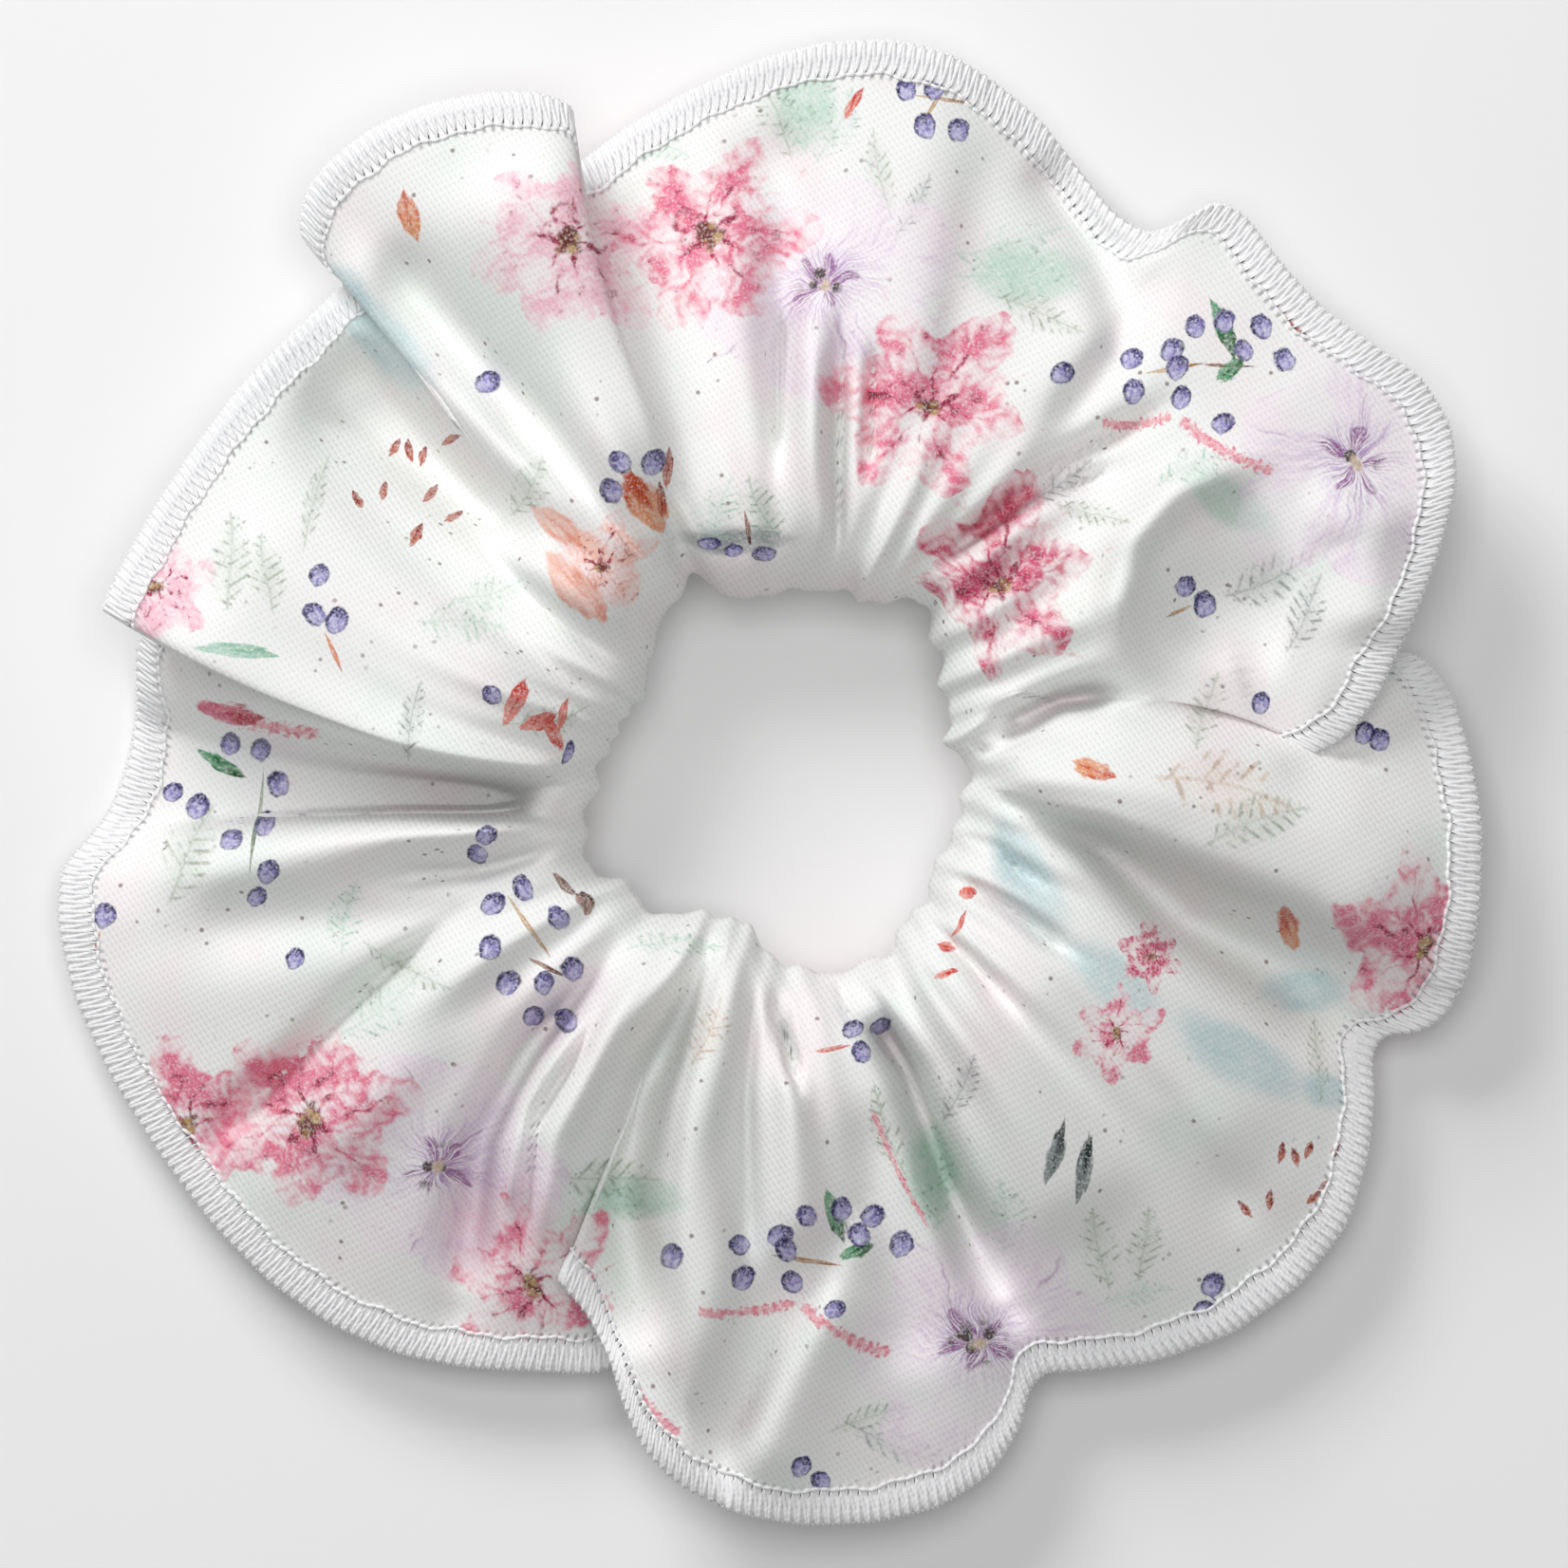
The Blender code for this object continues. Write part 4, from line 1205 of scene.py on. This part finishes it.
def cloth_material(name, layers):
    """White twill with painted shade in its grooves, these layers of the print one over another,
    and painted stitch shadows at the rim.
    """
    finish, shader = principled(name, roughness=0.78, Sheen_Weight=0.06,
                                Sheen_Roughness=0.5, Specular_IOR_Level=0.2)
    tree = finish.node_tree
    x, y, z = object_millimetres(tree)
    here = place_vector(x, y, z)
    mottle = noise(tree, here, 0.09, 3.0)
    colour = blend_colours(fade(mottle, 0.5, 0.68) * 0.5, (243, 244, 242), (247, 233, 237))
    colour = blend_colours(fade(mottle, 0.46, 0.3) * 0.5, colour, (232, 240, 234))
    speck = fade(dots(tree, here, 0.6), 0.16, 0.08) * fade(noise(tree, here, 0.16, 2.0), 0.47, 0.6)
    colour = blend_colours(speck * 0.75, colour, (118, 92, 88))
    soak = 1.0 - fade(noise(tree, here, 4.2, 2.0), 0.46, 0.72) * 0.5
    for kind, layer in layers:
        node = tree.nodes.new("ShaderNodeGroup")
        node.node_tree = motifs[kind]
        tree.links.new(attribute(tree, layer + "_place", "Vector"), node.inputs["Place"])
        tree.links.new(attribute(tree, layer + "_ink", "Color"), node.inputs["Ink"])
        colour = blend_colours(Wire(tree, node.outputs["Cover"]) * soak, colour, node.outputs["Colour"])
    slub = noise(tree, here, 1.1, 2.0) * 0.6
    along = (x * 0.83 + y * 0.56) * (2 * np.pi / TWILL_PITCH) + slub * 2.0
    cross = (x * 0.42 - y * 0.9) * (2 * np.pi / (TWILL_PITCH * 1.3)) + slub * 1.6
    rib = math_node("SINE", along) * 0.34 + math_node("SINE", cross) * 0.16 + 0.5
    # The twill's grooves are painted grey: painted shade; the bump below gives the real relief.
    colour = blend_colours(fade(rib, 0.42, 0.1) * 0.16, colour, (150, 150, 158))
    # Short slanted grey marks in from the rim: painted shadow between the overlock's loops, with a
    # slight dent in the bump as well.
    number, from_edge, _ = split_vector(tree, attribute(tree, "stitch_place", "Vector"))
    beat = math_node("FRACT", number + from_edge * 0.22)
    stitch_shadow = fade(abs(beat - 0.5), 0.26, 0.12) * fade(from_edge, 2.3, 2.5) * fade(from_edge, 3.5, 3.1)
    patchy = fade(noise(tree, here, 0.12, 1.0), 0.38, 0.56)
    colour = blend_colours(stitch_shadow * (0.15 + 0.45 * patchy), colour, (120, 120, 124))
    band = fade(from_edge, 2.7, 2.5)
    colour = blend_colours(band * 0.92, colour, (244, 244, 245))
    tree.links.new(colour, shader.inputs["Base Color"])
    bump(tree, shader, rib - stitch_shadow * 0.6, 0.35, 0.00008)
    return finish


for choice in range(2 ** len(SCREENS)):
    kinds = [kind for number, screen in enumerate(SCREENS) if choice >> number & 1 for kind in screen]
    layers = [layer for layer in print_layers if layer[0] in kinds]
    cover.data.materials.append(cloth_material(f"white_print_twill_{choice}", layers))
choices = (on_screen * 2 ** np.arange(len(SCREENS))[:, None]).sum(axis=0)
cover.data.polygons.foreach_set("material_index", choices.astype(np.int32))
print("faces by screens", np.bincount(choices, minlength=2 ** len(SCREENS)))
bridge_halves(cover)
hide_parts("cover_left", "cover_right")

# %% [markdown]
# ## Threads
#
# An overlock binds the two raw edges with three threads. The upper looper zigzags over the top
# of the rim, the lower looper does the same below, and the needle thread runs through both, a
# little way in. Each thread here is one real tube. Its path is a short pattern of steps in two
# numbers, how far round the rim and how far in from it, repeated for every stitch.

# %% Tubes
THREAD_SIDES = 6


def tube(name, path, up, radius, closed=True):
    """A tube of hexagons: each ring lies in the plane across the path, with one axis near up.

    The point attribute "strand" keeps the turn round the tube as cosine and sine, and the
    millimetres along it, for the twist of the yarn.
    """
    ahead = np.roll(path, -1, axis=0) - np.roll(path, 1, axis=0)
    if not closed:
        ahead[[0, -1]] = path[1] - path[0], path[-1] - path[-2]
    ahead /= np.linalg.norm(ahead, axis=1, keepdims=True)
    side = np.cross(ahead, up)
    side /= np.maximum(np.linalg.norm(side, axis=1, keepdims=True), 1e-9)
    turn = np.linspace(0.0, 2 * np.pi, THREAD_SIDES, endpoint=False)[None, :, None]
    rings = path[:, None] + radius * (np.cos(turn) * side[:, None]
                                      + np.sin(turn) * np.cross(side, ahead)[:, None])
    count = len(path)
    lengths = np.arange(count if closed else count - 1)
    i, j = np.meshgrid(lengths, np.arange(THREAD_SIDES), indexing="ij")
    here, there, following = i * THREAD_SIDES, (i + 1) % count * THREAD_SIDES, (j + 1) % THREAD_SIDES
    faces = np.stack((here + j, there + j, there + following, here + following), axis=-1)
    faces = faces.reshape(-1, 4)
    if not closed:
        cap = np.array(((0, 1, 2, 3), (0, 3, 4, 5)))
        faces = np.concatenate((faces, cap, cap[:, ::-1] + (count - 1) * THREAD_SIDES))
    piece = make_mesh(name, rings.reshape(-1, 3), faces)
    turn, run = turn[..., 0], length_along(path)[:, None]
    store(piece, "strand", "FLOAT_VECTOR",
          np.stack(np.broadcast_arrays(np.cos(turn), np.sin(turn), run), axis=-1))
    return piece


# %% The band along the rim
BAND_DEPTHS = np.linspace(0.0, 4.0, 9)


def band(grid, normal):
    """Each column's points and normals at the band's depths, measured along the cloth."""
    along = length_along(grid)
    row = (along[:, :, None] <= BAND_DEPTHS).sum(axis=1) - 1
    pick = np.arange(len(grid))[:, None]
    before, after = along[pick, row], along[pick, row + 1]
    part = ((BAND_DEPTHS - before) / (after - before))[..., None]
    return [values[pick, row] * (1 - part) + values[pick, row + 1] * part
            for values in (grid, normal)]


def on_band(layer, round_rim, depth, rise):
    """Points at a share of the way round the rim, a depth in from it and a rise off the cloth."""
    points, normal = layer
    column = np.mod(round_rim, 1.0) * len(points)
    i, part = column.astype(int) % len(points), (column % 1.0)[:, None]
    inward = np.clip(depth / BAND_DEPTHS[1], 0.0, len(BAND_DEPTHS) - 1.001)
    j, inner = inward.astype(int), (inward % 1.0)[:, None]
    k = (i + 1) % len(points)
    found = [(v[i, j] * (1 - part) + v[k, j] * part) * (1 - inner)
             + (v[i, j + 1] * (1 - part) + v[k, j + 1] * part) * inner for v in (points, normal)]
    outward = points[i, 0] - points[i, 2]
    outward /= np.linalg.norm(outward, axis=1, keepdims=True)
    up = found[1] / np.linalg.norm(found[1], axis=1, keepdims=True)
    place = found[0] + up * rise[:, None] + outward * np.maximum(-depth, 0.0)[:, None]
    return place, up


top_band = band(cloth, normals)
under_band = band(cloth[:, ::-1], normals[:, ::-1])

# %% Overlock
THREAD_RADIUS = 0.205
NEEDLE_RADIUS = 0.8 * THREAD_RADIUS
# In stitches along the rim, millimetres in from it, and millimetres off the cloth
LOOPER_STEPS = ((0.00, 2.7, -0.02), (0.10, 2.1, 0.04), (0.22, 1.0, 0.04), (0.34, 0.1, 0.03),
                (0.42, -0.12, -0.1), (0.52, 0.05, 0.02), (0.64, 0.9, 0.04), (0.80, 1.9, 0.04))
NEEDLE_STEPS = ((0.0, 2.75, -0.15), (0.12, 2.85, 0.05), (0.5, 2.9, 0.12), (0.88, 2.85, 0.05))
# The loops under the rim lie half a stitch on from those over it
LOWER_SHIFT = 0.5


def stitched_loop(name, layer, steps, radius, shift=0.0):
    """A closed thread that repeats its steps once for each stitch round the rim."""
    step = np.array(steps)
    at = (np.arange(stitch_count)[:, None] + step[None, :, 0] + shift).ravel() / stitch_count
    depth = np.tile(step[:, 1], stitch_count)
    uneven = 1.0 + 0.05 * np.sin(at * 2 * np.pi * 67) + 0.04 * np.sin(at * 2 * np.pi * 151)
    path, up = on_band(layer, at, np.where(depth > 0.5, depth * uneven, depth),
                       np.tile(step[:, 2], stitch_count))
    return tube(name, path, up, radius)


upper_looper = stitched_loop("upper_looper_thread", top_band, LOOPER_STEPS, THREAD_RADIUS)
lower_looper = stitched_loop("lower_looper_thread", under_band, LOOPER_STEPS, THREAD_RADIUS,
                             LOWER_SHIFT)
needle_thread = stitched_loop("needle_thread", top_band, NEEDLE_STEPS, NEEDLE_RADIUS)
for thread, node in ((upper_looper, "overlock_upper_looper"), (lower_looper, "overlock_lower_looper"),
                     (needle_thread, "overlock_needle_thread")):
    bridge_halves(thread)
    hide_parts(node + "_left", node + "_right")

# %% Thread material


def thread_material(name, colour, twist_pitch):
    """Spun white yarn: slanted plies round the tube, painted shade in their grooves, a little
    fluff, and a soft sheen.
    """
    finish, shader = principled(name, roughness=0.7, Sheen_Weight=0.35, Sheen_Roughness=0.5,
                                Specular_IOR_Level=0.3)
    tree = finish.node_tree
    cosine, sine, run = split_vector(tree, attribute(tree, "strand", "Vector"))
    phase = run * (2 * np.pi / twist_pitch)
    ply = sine * math_node("COSINE", phase) + cosine * math_node("SINE", phase)
    x, y, z = object_millimetres(tree)
    fluff = noise(tree, place_vector(x, y, z), 6.0, 3.0)
    ply_groove_shade = fade(ply, -0.4, -0.95)
    # The plies' grooves are painted darker as shade; the fluff noise is the yarn's own uneven tone.
    shade = blend_colours(ply_groove_shade * 0.16 + (fluff - 0.5) * 0.2, colour, (206, 206, 210))
    tree.links.new(shade, shader.inputs["Base Color"])
    bump(tree, shader, ply * 0.35 + fluff * 0.5, 0.5, 0.00005)
    return finish


overlock_finish = thread_material("overlock_yarn", (246, 246, 247), 0.5)
for thread in (upper_looper, lower_looper, needle_thread):
    thread.data.materials.append(overlock_finish)

# %% [markdown]
# ## Inside the cover
#
# A loop of flat braided elastic stands on its edge just behind the hole's wall, with its ends
# lapped and held by a zigzag of thread. One seam, sewn on the wrong side, closes the strip of
# cloth into a ring. None of it shows, but it is what makes a scrunchie work. The braid's ribs
# are in the section itself, and the crossing of its yarns is left to the material.

# %% Elastic
ELASTIC_INSET = 3.2
ELASTIC_MIDDLE = 10.6
ELASTIC_WIDTH = 5.8
ELASTIC_THICKNESS = 1.0
ELASTIC_RIBS = 8
SECTION_POINTS = 72
LAP_ANGLE = np.radians(205.0)
LAP_HALF = 5.0
around = np.linspace(0.0, 2 * np.pi, 361)[:-1]
elastic_radius = smooth_round(hole_radius(around), HOLE_ROUNDING) + ELASTIC_INSET


def elastic_section():
    """One turn round the band's section: width cos, thickness sin, flattened, with small ribs."""
    t = np.linspace(0.0, 2 * np.pi, SECTION_POINTS, endpoint=False)
    across = np.sign(np.cos(t)) * np.abs(np.cos(t)) ** 0.6
    through = np.sign(np.sin(t)) * np.abs(np.sin(t)) ** 0.25
    ribs = 1.0 - 0.16 * np.sin(across * np.pi * ELASTIC_RIBS / 2) ** 2
    return across * ELASTIC_WIDTH / 2, (through * ribs + 1.0) * ELASTIC_THICKNESS / 2


def elastic_points(angle, radius, depth, rise):
    """Places on the elastic: an angle round the hole, a depth behind its face and a height."""
    out = radius + depth
    place = (out * np.cos(angle), out * np.sin(angle), ELASTIC_MIDDLE + rise)
    return np.stack(np.broadcast_arrays(*place), axis=-1)


off_lap = np.abs(np.mod(around - LAP_ANGLE + np.pi, 2 * np.pi) - np.pi) * elastic_radius - LAP_HALF
lap = 1.0 + ease(1.0 - off_lap / 1.5)
rise, depth = elastic_section()
elastic_grid = elastic_points(around[:, None], elastic_radius[:, None], depth * lap[:, None], rise)
# A row past the last one closes the section; its faces' corners go back to the first row
faces = ring_faces(len(around), SECTION_POINTS + 1, flip=True)
column, row = faces // (SECTION_POINTS + 1), faces % (SECTION_POINTS + 1) % SECTION_POINTS
elastic = make_mesh("braided_elastic", elastic_grid.reshape(-1, 3), column * SECTION_POINTS + row)
length_round = length_along(np.concatenate((elastic_grid[:, 0], elastic_grid[:1, 0])))[-1]
run = (around * length_round / (2 * np.pi))[:, None]
store(elastic, "braid", "FLOAT_VECTOR", np.stack(np.broadcast_arrays(run, rise, depth), axis=-1))
print("elastic, length round", round(length_round, 1), "mm")

# %% Elastic material
elastic_finish, elastic_shader = principled("braided_elastic_yarn", roughness=0.7, Sheen_Weight=0.2,
                                            Specular_IOR_Level=0.3)
elastic_tree = elastic_finish.node_tree
run, across, _ = split_vector(elastic_tree, attribute(elastic_tree, "braid", "Vector"))
lean = abs(math_node("FRACT", across * (ELASTIC_RIBS / ELASTIC_WIDTH)) - 0.5)
yarn = math_node("SINE", run * 9.0 + lean * 7.0) * 0.5 + 0.5
# The gaps between the braid's yarns are painted darker: painted shade; the bump gives the real relief.
elastic_colour = blend_colours(fade(yarn, 0.35, 0.0), (236, 232, 222), (176, 172, 162))
elastic_tree.links.new(elastic_colour, elastic_shader.inputs["Base Color"])
bump(elastic_tree, elastic_shader, yarn, 0.5, 0.00012)
elastic.data.materials.append(elastic_finish)
bridge_halves(elastic)
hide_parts("elastic_left", "elastic_right")

# %% Sewing inside
SEWING_RADIUS = 0.18
LAP_BARS = 9
SIDE_SEAM_ANGLE = np.radians(172.0)
SEAM_STITCH = 2.4
SEAM_DIP = 0.12
LAP_STEP = 0.4
SEAM_STEP = 0.6


def dense_line(points, step):
    """An open line cut into equal steps, and the length up to each of them."""
    along = length_along(points)
    cuts = np.linspace(0.0, along[-1], int(along[-1] / step) + 1)
    return at_lengths(points, along, cuts), cuts


bar = np.arange(LAP_BARS)
lap_radius = np.interp(LAP_ANGLE, around, elastic_radius)
lap_angle = LAP_ANGLE + (bar / (LAP_BARS - 1) - 0.5) * 0.8 * LAP_HALF * 2 / lap_radius
lap_rise = np.where(bar % 2, 0.34, -0.34) * ELASTIC_WIDTH
lap_depth = 2 * ELASTIC_THICKNESS + SEWING_RADIUS
lap_path, _ = dense_line(elastic_points(lap_angle, lap_radius, lap_depth, lap_rise), LAP_STEP)
lap_up = lap_path * (1.0, 1.0, 0.0) / np.linalg.norm(lap_path[:, :2], axis=1, keepdims=True)
lap_stitches = tube("elastic_lap_stitches_thread", lap_path, lap_up, SEWING_RADIUS, closed=False)

seam_column = int(np.abs(np.mod(column_angle, 2 * np.pi) - SIDE_SEAM_ANGLE).argmin())
seam_rows = slice(7, ROW_COUNT - 5)
seam_normals = normals[seam_column, seam_rows]
inside_cloth = inner[seam_column, seam_rows] - seam_normals * 1.6 * SEWING_RADIUS
seam_line, seam_run = dense_line(inside_cloth, SEAM_STEP)
seam_up = at_lengths(seam_normals, np.linspace(0.0, seam_run[-1], len(inside_cloth)), seam_run)
seam_line -= seam_up * (SEAM_DIP * np.abs(np.sin(seam_run * np.pi / SEAM_STITCH)))[:, None]
seam_thread = tube("side_seam_sewing_thread", seam_line, seam_up, SEWING_RADIUS, closed=False)

sewing_finish = thread_material("spun_sewing_thread", (240, 240, 240), 0.6)
for thread, node in ((lap_stitches, "elastic_lap_stitches"), (seam_thread, "side_seam_thread")):
    thread.data.materials.append(sewing_finish)
    bridge_halves(thread)
    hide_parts(node)
